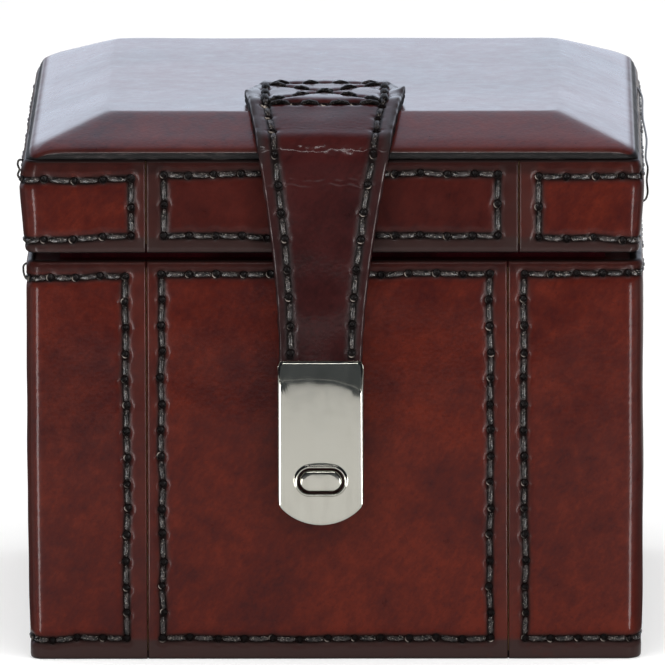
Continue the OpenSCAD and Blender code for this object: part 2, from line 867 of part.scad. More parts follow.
// The plate, with a raised rim round the button's hole
module hasp_plate() {
    hole_w = button_w + 2 * button_gap;
    hole_h = button_h + 2 * button_gap;
    color(nickel_col) difference() {
        union() {
            translate([0, strap_out_y, 0]) rotate([90, 0, 0]) linear_extrude(hasp_t)
                hasp_outline();
            oval_bar(hole_w + 2 * hasp_rim_w, hole_h + 2 * hasp_rim_w,
                plate_y - hasp_rim_h, plate_y + hasp_t / 2);
        }
        oval_bar(hole_w, hole_h, -big, 0);
    }
}

module hasp_back_plate() {
    color(nickel_col) difference() {
        back_plate_body();
        rivet_bodies();
    }
}

module hasp_rivets() {
    color(nickel_col) rivet_bodies();
}

// ---- cushion ----

module insert_board() {
    color(wood_col) difference() {
        round_box(2 * insert_x, 2 * insert_y, cushion_r, rail_top, cushion_z);
        ribbon_way();
    }
}

// The room for the watch: a round bed, a slot for its bow and two finger notches
module watch_room() {
    translate([0, -bed_shift, bed_z]) {
        cylinder(h = bed_depth + 1, r = bed_r, $fn = 96);
        translate([0, 0, bed_depth - bow_slot_depth]) {
            translate([-bow_slot_w / 2, 0, 0])
                cube([bow_slot_w, bed_r + bow_slot_l, bow_slot_depth + 1]);
            for (s = [-1, 1])
                translate([s * bed_r, 0, 0]) cylinder(h = bow_slot_depth + 1, r = finger_r);
        }
    }
}

// The groove in the cushion's left side that the ribbon comes up through
module ribbon_way() {
    block([-insert_x - 1, -ribbon_w / 2 - 0.3, rail_top - 1],
        [-insert_x + ribbon_t + 0.1, ribbon_w / 2 + 0.3, cushion_top + 1]);
}

module watch_cushion() {
    color(velvet_col) difference() {
        round_box(2 * insert_x, 2 * insert_y, cushion_r, cushion_z, cushion_top);
        watch_room();
        ribbon_way();
    }
}

module bed_pad() {
    color(satin_col) translate([0, -bed_shift, bed_z])
        cylinder(h = bed_pad_t, r = bed_r - 0.3, $fn = 96);
}

// The ribbon that lifts the cushion, up its left side and over its top
module ribbon_pull() {
    color(satin_col) {
        block([-insert_x, -ribbon_w / 2, rail_top],
            [-insert_x + ribbon_t, ribbon_w / 2, cushion_top + ribbon_t]);
        block([-insert_x, -ribbon_w / 2, cushion_top],
            [-insert_x + ribbon_lie, ribbon_w / 2, cushion_top + ribbon_t]);
    }
}

base_cover();
floor_board();
front_board();
back_board();
left_board();
right_board();
body_rim();
front_panel();
back_panel();
left_wrap();
right_wrap();
liner_front();
liner_back();
liner_left();
liner_right();
floor_liner();
insert_rails();
catch_plate();
catch_case();
catch_screws();
button_spring();
hinge_body_leaves();
hinge_pins();
hinge_body_screws();
lid_front_board();
lid_back_board();
lid_left_board();
lid_right_board();
lid_top_board();
lid_top_leather();
lid_front_panel();
lid_back_panel();
lid_left_wrap();
lid_right_wrap();
lid_rim();
lid_pad();
lid_side_lining();
hinge_lid_leaves();
hinge_lid_screws();
strap_anchor();
strap_tail();
strap_backing();
hasp_plate();
hasp_back_plate();
hasp_rivets();
catch_button();
insert_board();
watch_cushion();
bed_pad();
ribbon_pull();
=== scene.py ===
"""The looks of a leather covered display box for a pocket watch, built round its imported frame.

Shapes are worked out in millimetres and written to their meshes in metres. A leather wall is
unrolled: s runs along its plan, z goes up and h stands out of its surface. The strap is unrolled
too: t runs along it from its sewn end, a goes across it and h stands out of its middle layer.
"""

import json
import math

import bmesh
import bpy
import numpy as np
from mathutils import Euler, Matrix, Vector


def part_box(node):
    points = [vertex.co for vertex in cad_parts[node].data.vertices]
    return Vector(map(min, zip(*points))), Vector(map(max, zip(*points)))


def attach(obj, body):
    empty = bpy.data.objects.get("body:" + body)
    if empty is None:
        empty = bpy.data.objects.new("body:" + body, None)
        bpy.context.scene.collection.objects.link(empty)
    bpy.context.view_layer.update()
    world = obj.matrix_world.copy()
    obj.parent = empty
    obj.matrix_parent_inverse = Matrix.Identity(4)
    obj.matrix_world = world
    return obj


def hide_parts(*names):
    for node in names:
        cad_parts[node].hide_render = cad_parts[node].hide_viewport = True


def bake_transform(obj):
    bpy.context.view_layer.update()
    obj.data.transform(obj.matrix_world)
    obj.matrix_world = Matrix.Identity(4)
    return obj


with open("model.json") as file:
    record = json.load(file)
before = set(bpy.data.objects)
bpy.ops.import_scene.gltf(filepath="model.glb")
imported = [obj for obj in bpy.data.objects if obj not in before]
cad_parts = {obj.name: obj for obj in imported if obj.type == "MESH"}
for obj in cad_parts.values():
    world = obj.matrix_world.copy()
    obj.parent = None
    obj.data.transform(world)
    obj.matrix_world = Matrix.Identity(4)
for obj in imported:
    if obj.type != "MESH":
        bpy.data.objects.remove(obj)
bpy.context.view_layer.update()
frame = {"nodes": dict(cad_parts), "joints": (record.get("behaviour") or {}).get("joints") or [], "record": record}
NODES = frame["nodes"]
MM = 0.001
CHANCE = np.random.default_rng(11)

# ---- sizes in millimetres ----
GRID = 0.42            # spacing of the points on leather
SEAM_ROLL = 0.3        # rounding of a cut edge at a seam
SEAM_CLOSER = 0.03     # how far a panel's leather reaches past its node into the seam
CORNER_REACH = 48.3    # along a wrap, from the middle of its side to each upright corner
WRAP_OVER = 60         # a panel that is longer than this is a wrap
THREAD_R = 0.4         # half the thickness of the waxed thread
PITCH = 4.27           # stitch length on the walls, six to the inch
GROOVE = (0.26, 0.7)   # depth and half width of the groove that a seam of stitches pulls in
PIT = (0.5, 0.75)      # depth and half width of the dip round an awl hole

STAIN_HALF = 1.1       # half width of the dark stain along a wall's stitches
DYE_HALF = 0.72        # half width of the black dye in their groove
BARE_HALF = 1.2        # half width of the strip along them that has lost its polish

BEVEL_W = 12.5         # width of the lid's bevels, seen from above
TOP_CORNER_R = 2.0     # corners of the top leather, seen from above

STRAP_PITCH = 4.8      # stitch length along the strap
BOX_PITCH = 5.0        # stitch length in its crossed box
BOX_THREAD_R = 0.58    # half the thickness of the heavier thread of the box
BOX_HALF = 9.65        # half the width of the box
STRAP_T = 2.2          # thickness of the strap's two layers
STRAP_BACK_W = 20.5    # width of its sewn back end
STRAP_NEAR_W = (25.1, 25.5)    # widths a little before and a little after its widest place
STRAP_BEND_W = 21.4    # width where it bends over the lid's edge
STRAP_END_W = 13.3     # width where it enters the hasp
STRAP_END_R = 7.8      # radius of its round end behind the hasp
STRAP_FLARE_L = 10.5   # from its back end to its widest place
STRAP_CURVE = 1.6      # 1 would narrow in a straight line, more is a trumpet shape
STRAP_STANDS = 0.95    # how far it stands off the lid where it bends

HOLE_HALF = (3.8, 2.1)       # the button hole's half width and half height
BUTTON_HALF = (3.5, 1.8)     # the button's half width and half height
HASP_T = 0.9                 # thickness of the hasp plate
HASP_EDGE_R = 0.55           # rounding of its edge
HASP_BOTTOM_R = 9.0          # radius of its round bottom

LOOSE_R = 0.17         # half the thickness of a thread that came loose

BED_R = 26.0           # radius of the round bed for the watch
BED_Y = -5.0           # its middle
SLOT_HALF = 6.5        # half the width of the slot for the watch's bow
SLOT_END_Y = 31.0      # its far end
NOTCH_R = 8.0          # radius of the finger notches
SLOT_DEPTH = 9.0       # depth of slot and notches
BUTTON_R = 2.3         # radius of the covered button in the middle of the bed's pad
RIBBON_T = 0.3         # thickness of the pull ribbon


def box_mm(node):
    """A CAD node's lowest and highest corners at rest, in millimetres."""
    lo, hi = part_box(node)
    return np.array(lo) / MM, np.array(hi) / MM


# ---- curves ----

def held(x):
    """A value held between 0 and 1."""
    return np.clip(x, 0, 1)


def bell(x, half, power=2):
    """1 at nought, falling off to both sides as a bell. A higher power gives it a flatter top."""
    return np.exp(-(x / half) ** power)


def roll(e, r):
    """How far a rounded edge of radius r falls away, e from the edge: a quarter circle."""
    return r - np.sqrt(np.maximum(r * r - (r - np.clip(e, 0, r)) ** 2, 0))


def soft_min(a, b, soft):
    """The smaller of two values, with the crease between them rounded."""
    return (a + b - np.sqrt((a - b) ** 2 + soft * soft)) / 2


def swell(a, b, length, seed):
    """Gentle unevenness between about -1 and 1: a sum of plane waves of about that length."""
    waves = np.random.default_rng(seed)
    total = 0
    for _ in range(6):
        angle = waves.uniform(0, math.pi)
        size = length * waves.uniform(0.7, 1.6)
        phase = waves.uniform(0, 2 * math.pi)
        way = a * math.cos(angle) + b * math.sin(angle)
        total = total + np.sin(way * 2 * math.pi / size + phase)
    return total / 3


def spaced(a, b, step, near=(0, 0.07, 0.18, 0.34)):
    """Places from a to b, about step apart and closer together at both ends."""
    near = np.array(near, float)
    inner_a, inner_b = a + near[-1], b - near[-1]
    count = max(2, round((inner_b - inner_a) / step))
    middle = np.linspace(inner_a, inner_b, count + 1)[1:-1]
    return np.concatenate([a + near, middle, (b - near)[::-1]])


def square_rings(hx, hy, r, per_corner, per_side):
    """Rings round rectangles with round corners, from arrays of half sizes and corner radii: four
    quarter circles joined by straight sides. A given place in the ring meets the same side at
    every size. Gives x and y."""
    hx, hy, r = (np.asarray(v, float)[:, None] for v in (hx, hy, r))
    a = np.linspace(0, math.pi / 2, per_corner)[None]
    turns = [(1, -1, -math.pi / 2), (1, 1, 0), (-1, 1, math.pi / 2), (-1, -1, math.pi)]
    arcs = [(sx * (hx - r) + r * np.cos(a + start), sy * (hy - r) + r * np.sin(a + start))
            for sx, sy, start in turns]
    share = np.linspace(0, 1, per_side + 2)[None, 1:-1]
    parts = []
    for arc, after in zip(arcs, arcs[1:] + arcs[:1]):
        parts.append(arc)
        parts.append([v[:, -1:] + (w[:, :1] - v[:, -1:]) * share for v, w in zip(arc, after)])
    x_parts, y_parts = zip(*parts)
    return np.concatenate(x_parts, axis=1), np.concatenate(y_parts, axis=1)


def rounded_line(points, radii, step=0.1):
    """A line through corner points with each corner rounded to its radius: straight lines joined
    by tangent arcs, as points about step apart. Each row holds its arc length and its place."""
    points = np.array(points, float)
    parts = [points[:1]]
    for before, corner, after, r in zip(points, points[1:], points[2:], radii):
        a = (before - corner) / np.linalg.norm(before - corner)
        b = (after - corner) / np.linalg.norm(after - corner)
        half = math.acos(np.clip(a @ b, -1, 1)) / 2
        middle = (a + b) / np.linalg.norm(a + b)
        centre = corner + middle * r / math.sin(half)
        start = corner + a * r / math.tan(half) - centre
        end = corner + b * r / math.tan(half) - centre
        share = np.linspace(0, 1, 25)[:, None]
        arc = start * (1 - share) + end * share
        parts.append(centre + arc / np.linalg.norm(arc, axis=1, keepdims=True) * r)
    parts.append(points[-1:])
    line = np.vstack(parts)
    t = np.concatenate([[0], np.cumsum(np.hypot(*np.diff(line, axis=0).T))])
    even = np.linspace(0, t[-1], round(t[-1] / step))
    return np.column_stack([even, np.interp(even, t, line[:, 0]), np.interp(even, t, line[:, 1])])


# ---- meshes ----

def face_outwards(mesh):
    """Turns a closed mesh right side out, which makes its signed volume positive."""
    shape = bmesh.new()
    shape.from_mesh(mesh)
    inside_out = shape.calc_volume(signed=True) < 0
    shape.free()
    if inside_out:
        mesh.flip_normals()


def skin(name, rings, material, joined=False):
    """One mesh of separate closed skins. rings[n, m, k] holds the points of skin n: its m rings
    have k points each and close on themselves. A flat face closes the first and the last ring,
    or the rings are joined in a circle."""
    rings = np.asarray(rings, float)
    if rings.ndim == 3:
        rings = rings[None]
    n, m, k = rings.shape[:3]
    index = np.arange(n * m * k).reshape(n, m, k)
    this = index if joined else index[:, :-1]
    after = np.roll(index, -1, axis=1) if joined else index[:, 1:]
    quads = np.stack([this, np.roll(this, -1, 2), np.roll(after, -1, 2), after], axis=-1)
    faces = quads.reshape(-1, 4).tolist()
    smooth = [True] * len(faces)
    if not joined:
        faces += index[:, 0, ::-1].tolist() + index[:, -1].tolist()
        smooth += [False] * (2 * n)
    mesh = bpy.data.meshes.new(name)
    mesh.from_pydata((rings.reshape(-1, 3) * MM).tolist(), [], faces)
    mesh.polygons.foreach_set("use_smooth", smooth)
    face_outwards(mesh)
    mesh.materials.append(material)
    piece = bpy.data.objects.new(name, mesh)
    bpy.context.scene.collection.objects.link(piece)
    return piece


def paint(piece, **numbers):
    """Stores named numbers on the mesh for its material to read, one of each per point."""
    for name, values in numbers.items():
        layer = piece.data.attributes.new(name, "FLOAT", "POINT")
        layer.data.foreach_set("value", np.asarray(values, np.float32).ravel())


# ---- walls, unrolled ----

def plan_table(points, normals):
    """A wall's plan in columns: arc length, x, y, and its outward normal's x and y."""
    steps = np.hypot(*np.diff(points, axis=0).T)
    return np.column_stack([np.concatenate([[0], np.cumsum(steps)]), points, normals])


def straight_plan(x0, x1, y):
    """The plan of a flat panel, in front or at the back."""
    side = math.copysign(1, y)
    return plan_table(np.array([[x0, y], [x1, y]]), np.array([[0, side], [0, side]]))


def wrap_plan(seam, hx, hy, r, side):
    """From the front seam round the two corners of one side to the back seam: straight lines
    joined by quarter circles of radius r. side is -1 on the left and 1 on the right."""
    a = np.linspace(0, math.pi / 2, 33)
    cx, cy = hx - r, hy - r
    points = np.vstack([
        [[seam, -hy]],
        np.column_stack([cx + r * np.sin(a), -cy - r * np.cos(a)]),
        np.column_stack([cx + r * np.cos(a), cy + r * np.sin(a)]),
        [[seam, hy]],
    ])
    normals = np.vstack([
        [[0, -1]],
        np.column_stack([np.sin(a), -np.cos(a)]),
        np.column_stack([np.cos(a), np.sin(a)]),
        [[0, 1]],
    ])
    return plan_table(points * [side, 1], normals * [side, 1])


def on_wall(plan, s, z, h):
    """The point at arc length s along a wall, at height z, h out of its surface."""
    s, z, h = np.broadcast_arrays(s, z, h)
    x, y, nx, ny = (np.interp(s, plan[:, 0], plan[:, i]) for i in range(1, 5))
    return np.stack([x + nx * h, y + ny * h, z], axis=-1)


def sideways(plan, s):
    """How far a wall faces to the left or right at arc length s, from 0 to 1."""
    return np.abs(np.interp(s, plan[:, 0], plan[:, 3]))


def corner_places(length):
    """Where the upright corners of a wrap are along it."""
    return length / 2 - CORNER_REACH, length / 2 + CORNER_REACH


# ---- stitches, in the (s, z, h) of what they are sewn through ----

def holes_between(start, end, pitch):
    """Awl holes along one line, evenly spread from its start to its end."""
    start, end = np.array(start, float), np.array(end, float)
    count = max(1, round(np.linalg.norm(end - start) / pitch))
    return start + (end - start) * np.linspace(0, 1, count + 1)[:, None]


def runs_through(corners, pitch, wander=0.13):
    """The lines of holes from each corner of a pattern to its next. Each hole but the corners
    strays a little, as pricked by eye."""
    runs = [holes_between(a, b, pitch) for a, b in zip(corners, corners[1:])]
    for run in runs:
        run[1:-1] += CHANCE.normal(0, wander, run[1:-1].shape)
    return runs


def pulled_in(s, z, runs):
    """How deep stitches pull leather in, and how far each point lies from their line: a groove of
    bell shape from each hole to the next, and a dip of bell shape round each hole."""
    far = 99.0
    near = np.full(np.shape(s), far)
    hole = np.full(np.shape(s), far)
    for run in runs:
        for start, end in zip(run, run[1:]):
            along = end - start
            length = np.linalg.norm(along)
            way = along / length
            from_s, from_z = s - start[0], z - start[1]
            t = np.clip(from_s * way[0] + from_z * way[1], 0, length)
            near = np.minimum(near, np.hypot(from_s - t * way[0], from_z - t * way[1]))
            hole = np.minimum(hole, np.hypot(from_s, from_z))
    return GROOVE[0] * bell(near, GROOVE[1]) + PIT[0] * bell(hole, PIT[1]), near


def thread_rings(runs, rise, radius):
    """A thread from each hole to the next: it comes up beside one hole, arches to its rise as the
    root of a half sine wave and goes down beside the next. Its section is a flattened ellipse
    that turns as it goes, which reads as two twisted plies."""
    starts = np.vstack([run[:-1] for run in runs])[:, None, None]
    ends = np.vstack([run[1:] for run in runs])[:, None, None]
    slant = CHANCE.normal(0, 0.1, starts.shape)
    starts, ends = starts + slant, ends - slant
    t = np.linspace(0, 1, 8)[None, :, None]
    around = np.linspace(0, 2 * math.pi, 6, endpoint=False)[None, None, :]
    arch = np.sin(math.pi * t) ** 0.45
    lift = rise + CHANCE.normal(0, 0.05, starts.shape[:3])
    along = ends - starts
    way = along / np.linalg.norm(along, axis=-1, keepdims=True)
    sunk = 0.75
    height = -sunk + (sunk + lift) * arch
    centre = starts + along * (0.13 + 0.76 * t)[..., None]
    fat = radius * (0.8 + 0.2 * arch) * (1 + 0.2 * np.cos(2 * (around - 9 * t)))
    out = 1.05 * fat * np.cos(around)
    s = centre[..., 0] - way[..., 1] * out
    z = centre[..., 1] + way[..., 0] * out
    return s, z, height + 0.6 * fat * np.sin(around)


def hole_rings(runs, level, lip_at):
    """A black pit with a raised lip round each hole: rings of these radii and heights about it.
    The lip is higher on one side, at the angle lip_at, where the awl went in aslant. Gives the
    rings and how much painted highlight each point of the lip has: a pale patch on that side."""
    radii = np.array([0.86, 0.78, 0.68, 0.58, 0.5, 0.2])[None, :, None]
    heights = np.array([-0.6, -0.12, 0.06, 0.0, -0.2, -0.22])[None, :, None]
    on_lip = np.array([0, 0.6, 1, 0.4, 0, 0])[None, :, None]
    centres = np.unique(np.round(np.vstack(runs), 3), axis=0)[:, None, None]
    each = centres.shape[:3]
    around = np.linspace(0, 2 * math.pi, 12, endpoint=False)
    size = CHANCE.uniform(0.74, 0.96, each)
    side = np.cos(around - lip_at + CHANCE.normal(0, 0.4, each))
    s = centres[..., 0] + size * radii * np.cos(around)
    z = centres[..., 1] + size * radii * np.sin(around)
    raised = np.maximum(heights, 0) * (1 + 0.9 * side)
    # Painted highlight: a pale patch on the raised side of each lip.
    pale = on_lip * held(4 * side - 2.8) * held(CHANCE.uniform(-0.9, 1.3, each))
    return (s, z, level + np.minimum(heights, 0) + raised + 0 * s), pale


# ---- materials ----

COLOURS = {"out": 2, "data_type": "RGBA"}    # a Mix node takes colours at 6 and 7 and gives one at 2


def colour(text):
    """An sRGB hex colour as linear light, with full alpha."""
    parts = np.array([int(text[i:i + 2], 16) for i in (1, 3, 5)]) / 255
    linear = np.where(parts <= 0.04045, parts / 12.92, ((parts + 0.055) / 1.055) ** 2.4)
    return (*linear.tolist(), 1.0)


def in_mm(x=1, y=1, z=1):
    """The scale that turns metres to millimetres, for a pattern drawn out x, y and z times."""
    return tuple(1 / MM / times for times in (x, y, z))


def empty_material(name):
    """A material without nodes, and its tree."""
    material = bpy.data.materials.new(name)
    material.use_nodes = True
    material.node_tree.nodes.clear()
    return material, material.node_tree


def add(tree, kind, inputs=None, out=0, **settings):
    """Adds a node with its settings. An input that is given a socket is linked to it, and one that
    is given a value is set. Gives the output named or numbered out."""
    node = tree.nodes.new("ShaderNode" + kind)
    for name, value in settings.items():
        setattr(node, name, value)
    for name, value in (inputs or {}).items():
        if isinstance(value, bpy.types.NodeSocket):
            tree.links.new(value, node.inputs[name])
        else:
            node.inputs[name].default_value = value
    return node.outputs[out] if len(node.outputs) else None


def bridle_leather(name, light, middle, deep, border, specular, coat, coat_rough):
    """Vegetable tanned leather, stained by hand and polished: cloudy colour with dark patches, a
    border of dark dye along stitches and rims, a fine grain of pores, and raw edges that were
    dyed and burnished, with pale fibres in streaks. The border's colour also paints shade where
    a wall's upright corners turn sideways and where the top turns down to its edge. Its polish
    is gone where it is cut, inked or worn."""
    material, tree = empty_material(name)
    stain, ink, cut, worn = (add(tree, "Attribute", out="Fac", attribute_name=number)
                             for number in ("stain", "ink", "cut", "worn"))
    spot = add(tree, "TexCoord", out="Object")
    where = add(tree, "Mapping", {"Vector": spot, "Scale": in_mm()})
    aslant = add(tree, "Mapping", {"Vector": spot, "Rotation": (0.6, -0.55, 0)})
    strokes = add(tree, "Mapping", {"Vector": aslant, "Scale": in_mm(z=7)})
    across = add(tree, "Mapping", {"Vector": spot, "Scale": in_mm(x=6, y=6)})

    # hand dyeing: clouds 20 mm across, mottles of 3.6 mm and brush strokes 0.8 by 5.6 mm
    clouds = add(tree, "TexNoise", {
        "Vector": where, "Scale": 1 / 20, "Detail": 3, "Roughness": 0.5, "Distortion": 0.4})
    mottle = add(tree, "TexNoise", {"Vector": where, "Scale": 1 / 3.6, "Detail": 5, "Roughness": 0.7})
    brushed = add(tree, "TexNoise", {
        "Vector": strokes, "Scale": 1 / 0.8, "Detail": 4, "Roughness": 0.65})
    tone = 0
    for pattern, share in ((clouds, 0.38), (mottle, 0.36), (brushed, 0.26)):
        tone = add(tree, "Math", {0: pattern, 1: share, 2: tone}, operation="MULTIPLY_ADD")
    lighter = add(tree, "MapRange", {"Value": tone, "From Min": 0.49, "From Max": 0.61})
    field = add(tree, "Mix", {0: lighter, 6: colour(middle), 7: colour(light)}, **COLOURS)
    darker = add(tree, "MapRange", {"Value": tone, "From Min": 0.49, "From Max": 0.39})
    field = add(tree, "Mix", {0: darker, 6: field, 7: colour(deep)}, **COLOURS)
    specks = add(tree, "TexNoise", {"Vector": where, "Scale": 1 / 0.55, "Detail": 2, "Roughness": 0.55})
    speckled = add(tree, "MapRange", {
        "Value": specks, "From Min": 0.62, "From Max": 0.73, "To Max": 0.5})
    field = add(tree, "Mix", {0: speckled, 6: field, 7: colour(deep)}, **COLOURS)

    # the border's dye and painted shade, ragged at its edge, then the black of grooves and rims
    uneven = add(tree, "MapRange", {
        "Value": mottle, "From Min": 0.3, "From Max": 0.6, "To Min": 0.72, "To Max": 1.15})
    ragged = add(tree, "Math", {0: stain, 1: uneven}, operation="MULTIPLY")
    stained = add(tree, "MapRange", {"Value": ragged, "From Min": 0.12, "From Max": 0.85})
    dyed = add(tree, "Mix", {0: stained, 6: field, 7: colour(border)}, **COLOURS)
    inked = add(tree, "MapRange", {"Value": ink, "From Min": 0.15, "From Max": 0.8, "To Max": 0.92})
    dyed = add(tree, "Mix", {0: inked, 6: dyed, 7: colour("#110b0a")}, **COLOURS)

    # raw edges: fibres 0.5 mm thick and 3 mm long
    fibres = add(tree, "TexNoise", {"Vector": across, "Scale": 1 / 0.5, "Detail": 3, "Roughness": 0.7})
    bare = add(tree, "MapRange", {"Value": fibres, "From Min": 0.55, "From Max": 0.8})
    raw = add(tree, "Mix", {0: bare, 6: colour("#0d0909"), 7: colour("#3f3837")}, **COLOURS)
    all_over = add(tree, "Mix", {0: cut, 6: dyed, 7: raw}, **COLOURS)

    uneven = add(tree, "MapRange", {
        "Value": mottle, "From Min": 0.3, "From Max": 0.7, "To Min": 0.27, "To Max": 0.4})
    rough = add(tree, "Math", {0: cut, 1: 0.25, 2: uneven}, operation="MULTIPLY_ADD")
    dull = add(tree, "Math", {0: cut, 1: worn}, operation="MAXIMUM")
    dull = add(tree, "Math", {0: dull, 1: ink}, operation="MAXIMUM")
    polish = add(tree, "MapRange", {"Value": dull, "To Min": coat, "To Max": 0})

    # pores 0.6 mm apart, under the creases of the grain
    pores = add(tree, "TexVoronoi", {"Vector": where, "Scale": 1 / 0.6}, out="Distance")
    grain = add(tree, "Bump", {"Height": pores, "Distance": 0.02 * MM, "Strength": 0.5})
    creased = add(tree, "Bump", {
        "Height": mottle, "Distance": 0.07 * MM, "Strength": 0.6, "Normal": grain})
    fibrous = add(tree, "Bump", {
        "Height": fibres, "Distance": 0.05 * MM, "Strength": 0.3, "Normal": creased})
    on_polish = add(tree, "Bump", {
        "Height": mottle, "Distance": 0.04 * MM, "Strength": 0.6, "Normal": grain})
    leather = add(tree, "BsdfPrincipled", {
        "Base Color": all_over, "Roughness": rough, "Normal": fibrous, "IOR": 1.3,
        "Specular IOR Level": specular, "Coat Weight": polish, "Coat Normal": on_polish,
        "Coat Roughness": coat_rough, "Coat IOR": 1.3})
    add(tree, "OutputMaterial", {"Surface": leather})
    return material


def waxed_linen(name, dark, light, flecks, specular):
    """Linen thread drawn through black wax: charcoal plies with a grey sheen painted on in patches,
    as the shine on the tops of the plies, and pale flecks where the wax has rubbed off. Its fibres
    are drawn 0.22 mm thick, coarser than they are, so that they show."""
    material, tree = empty_material(name)
    spot = add(tree, "TexCoord", out="Object")
    where = add(tree, "Mapping", {"Vector": spot, "Scale": in_mm()})
    patches = add(tree, "TexNoise", {"Vector": where, "Scale": 1 / 1.1, "Detail": 3, "Roughness": 0.55})
    fibre = add(tree, "TexNoise", {"Vector": where, "Scale": 1 / 0.22, "Detail": 2, "Roughness": 0.55})
    # Painted sheen: grey patches 1.1 mm across stand for the shine on the plies.
    thread_sheen = add(tree, "MapRange", {"Value": patches, "From Min": 0.42, "From Max": 0.62})
    linen = add(tree, "Mix", {0: thread_sheen, 6: colour(dark), 7: colour(light)}, **COLOURS)
    rubbed = add(tree, "MapRange", {
        "Value": fibre, "From Min": 0.58, "From Max": 0.68, "To Max": flecks})
    linen = add(tree, "Mix", {0: rubbed, 6: linen, 7: colour("#8f877f")}, **COLOURS)
    fuzz = add(tree, "Bump", {"Height": fibre, "Distance": 0.08 * MM, "Strength": 0.6})
    thread = add(tree, "BsdfPrincipled", {
        "Base Color": linen, "Normal": fuzz, "Roughness": 0.3, "IOR": 1.5,
        "Specular IOR Level": specular})
    add(tree, "OutputMaterial", {"Surface": thread})
    return material


def pricked_leather():
    """Leather round an awl hole, pressed up and wet with wax: near black, which is dye and also
    painted shade of the hole, with a painted highlight, pale, on one side of the lip."""
    material, tree = empty_material("pricked_leather_dye_and_shade")
    spot = add(tree, "TexCoord", out="Object")
    where = add(tree, "Mapping", {"Vector": spot, "Scale": in_mm()})
    spots = add(tree, "TexNoise", {"Vector": where, "Scale": 1 / 0.5, "Detail": 2, "Roughness": 0.55})
    # Near black: dye, and painted shade of the hole.
    dark = add(tree, "Mix", {0: spots, 6: colour("#030202"), 7: colour("#120a09")}, **COLOURS)
    pale = add(tree, "Attribute", out="Fac", attribute_name="pale")
    # Painted highlight: the pale patch on one side of the lip.
    with_glint = add(tree, "Mix", {0: pale, 6: dark, 7: colour("#a89c93")}, **COLOURS)
    pressed = add(tree, "Bump", {"Height": spots, "Distance": 0.05 * MM, "Strength": 0.5})
    lip = add(tree, "BsdfPrincipled", {
        "Base Color": with_glint, "Normal": pressed, "Roughness": 0.4, "IOR": 1.4,
        "Specular IOR Level": 0.12})
    add(tree, "OutputMaterial", {"Surface": lip})
    return material


def dyed_split():
    """Split leather dyed black, for the base: matt with a short nap in tufts of 0.7 mm."""
    material, tree = empty_material("dyed_split_leather")
    spot = add(tree, "TexCoord", out="Object")
    where = add(tree, "Mapping", {"Vector": spot, "Scale": in_mm()})
    nap = add(tree, "TexNoise", {"Vector": where, "Scale": 1 / 0.7, "Detail": 4, "Roughness": 0.7})
    black = add(tree, "Mix", {0: nap, 6: colour("#161112"), 7: colour("#332a29")}, **COLOURS)
    tufts = add(tree, "Bump", {"Height": nap, "Distance": 0.15 * MM, "Strength": 0.7})
    split = add(tree, "BsdfPrincipled", {
        "Base Color": black, "Normal": tufts, "Roughness": 0.8, "IOR": 1.4})
    add(tree, "OutputMaterial", {"Surface": split})
    return material


def poplar():
    """Planed poplar boards, unfinished: pale wood with long soft grain lines about 2 mm apart and
    pores 0.35 mm wide."""
    material, tree = empty_material("planed_poplar")
    spot = add(tree, "TexCoord", out="Object")
    along = add(tree, "Mapping", {"Vector": spot, "Scale": in_mm(x=14)})
    rings = add(tree, "TexWave", {
        "Vector": along, "Scale": 0.16, "Distortion": 5, "Detail": 3, "Detail Scale": 1.4,
    }, out="Fac", bands_direction="Z")
    shorter = add(tree, "Mapping", {"Vector": spot, "Scale": in_mm(x=9)})
    pores = add(tree, "TexNoise", {
        "Vector": shorter, "Scale": 1 / 0.35, "Detail": 3, "Roughness": 0.55})
    wood = add(tree, "Mix", {0: rings, 6: colour("#b8935f"), 7: colour("#cfae7c")}, **COLOURS)
    dark = add(tree, "MapRange", {"Value": pores, "From Min": 0.55, "From Max": 0.75, "To Max": 0.5})
    wood = add(tree, "Mix", {0: dark, 6: wood, 7: colour("#96703f")}, **COLOURS)
    open_pores = add(tree, "Bump", {"Height": pores, "Distance": 0.05 * MM, "Strength": 0.6})
    board = add(tree, "BsdfPrincipled", {
        "Base Color": wood, "Normal": open_pores, "Roughness": 0.62, "IOR": 1.45})
    add(tree, "OutputMaterial", {"Surface": board})
    return material


def cotton_velvet():
    """Cotton velvet, cut pile 0.6 mm high: deep wine red whose pile brightens at glancing light,
    with lighter and darker strokes of 9 mm where it lies another way. Its tufts are drawn 0.3 mm
    thick."""
    material, tree = empty_material("cotton_velvet")
    spot = add(tree, "TexCoord", out="Object")
    where = add(tree, "Mapping", {"Vector": spot, "Scale": in_mm()})
    strokes = add(tree, "TexNoise", {
        "Vector": where, "Scale": 1 / 9, "Detail": 3, "Roughness": 0.6, "Distortion": 1.2})
    pile = add(tree, "TexNoise", {"Vector": where, "Scale": 1 / 0.3, "Detail": 2, "Roughness": 0.7})
    brushed = add(tree, "MapRange", {"Value": strokes, "From Min": 0.35, "From Max": 0.65})
    cloth = add(tree, "Mix", {0: brushed, 6: colour("#3a0c14"), 7: colour("#5a1620")}, **COLOURS)
    between = add(tree, "MapRange", {"Value": pile, "From Min": 0.35, "From Max": 0.65, "To Max": 0.45})
    cloth = add(tree, "Mix", {0: between, 6: cloth, 7: colour("#22060b")}, **COLOURS)
    tufts = add(tree, "Bump", {"Height": pile, "Distance": 0.16 * MM, "Strength": 0.8})
    velvet = add(tree, "BsdfPrincipled", {
        "Base Color": cloth, "Normal": tufts, "Roughness": 0.95, "IOR": 1.4, "Specular IOR Level": 0.2,
        "Sheen Weight": 0.7, "Sheen Roughness": 0.35, "Sheen Tint": colour("#c2616b")})
    add(tree, "OutputMaterial", {"Surface": velvet})
    return material


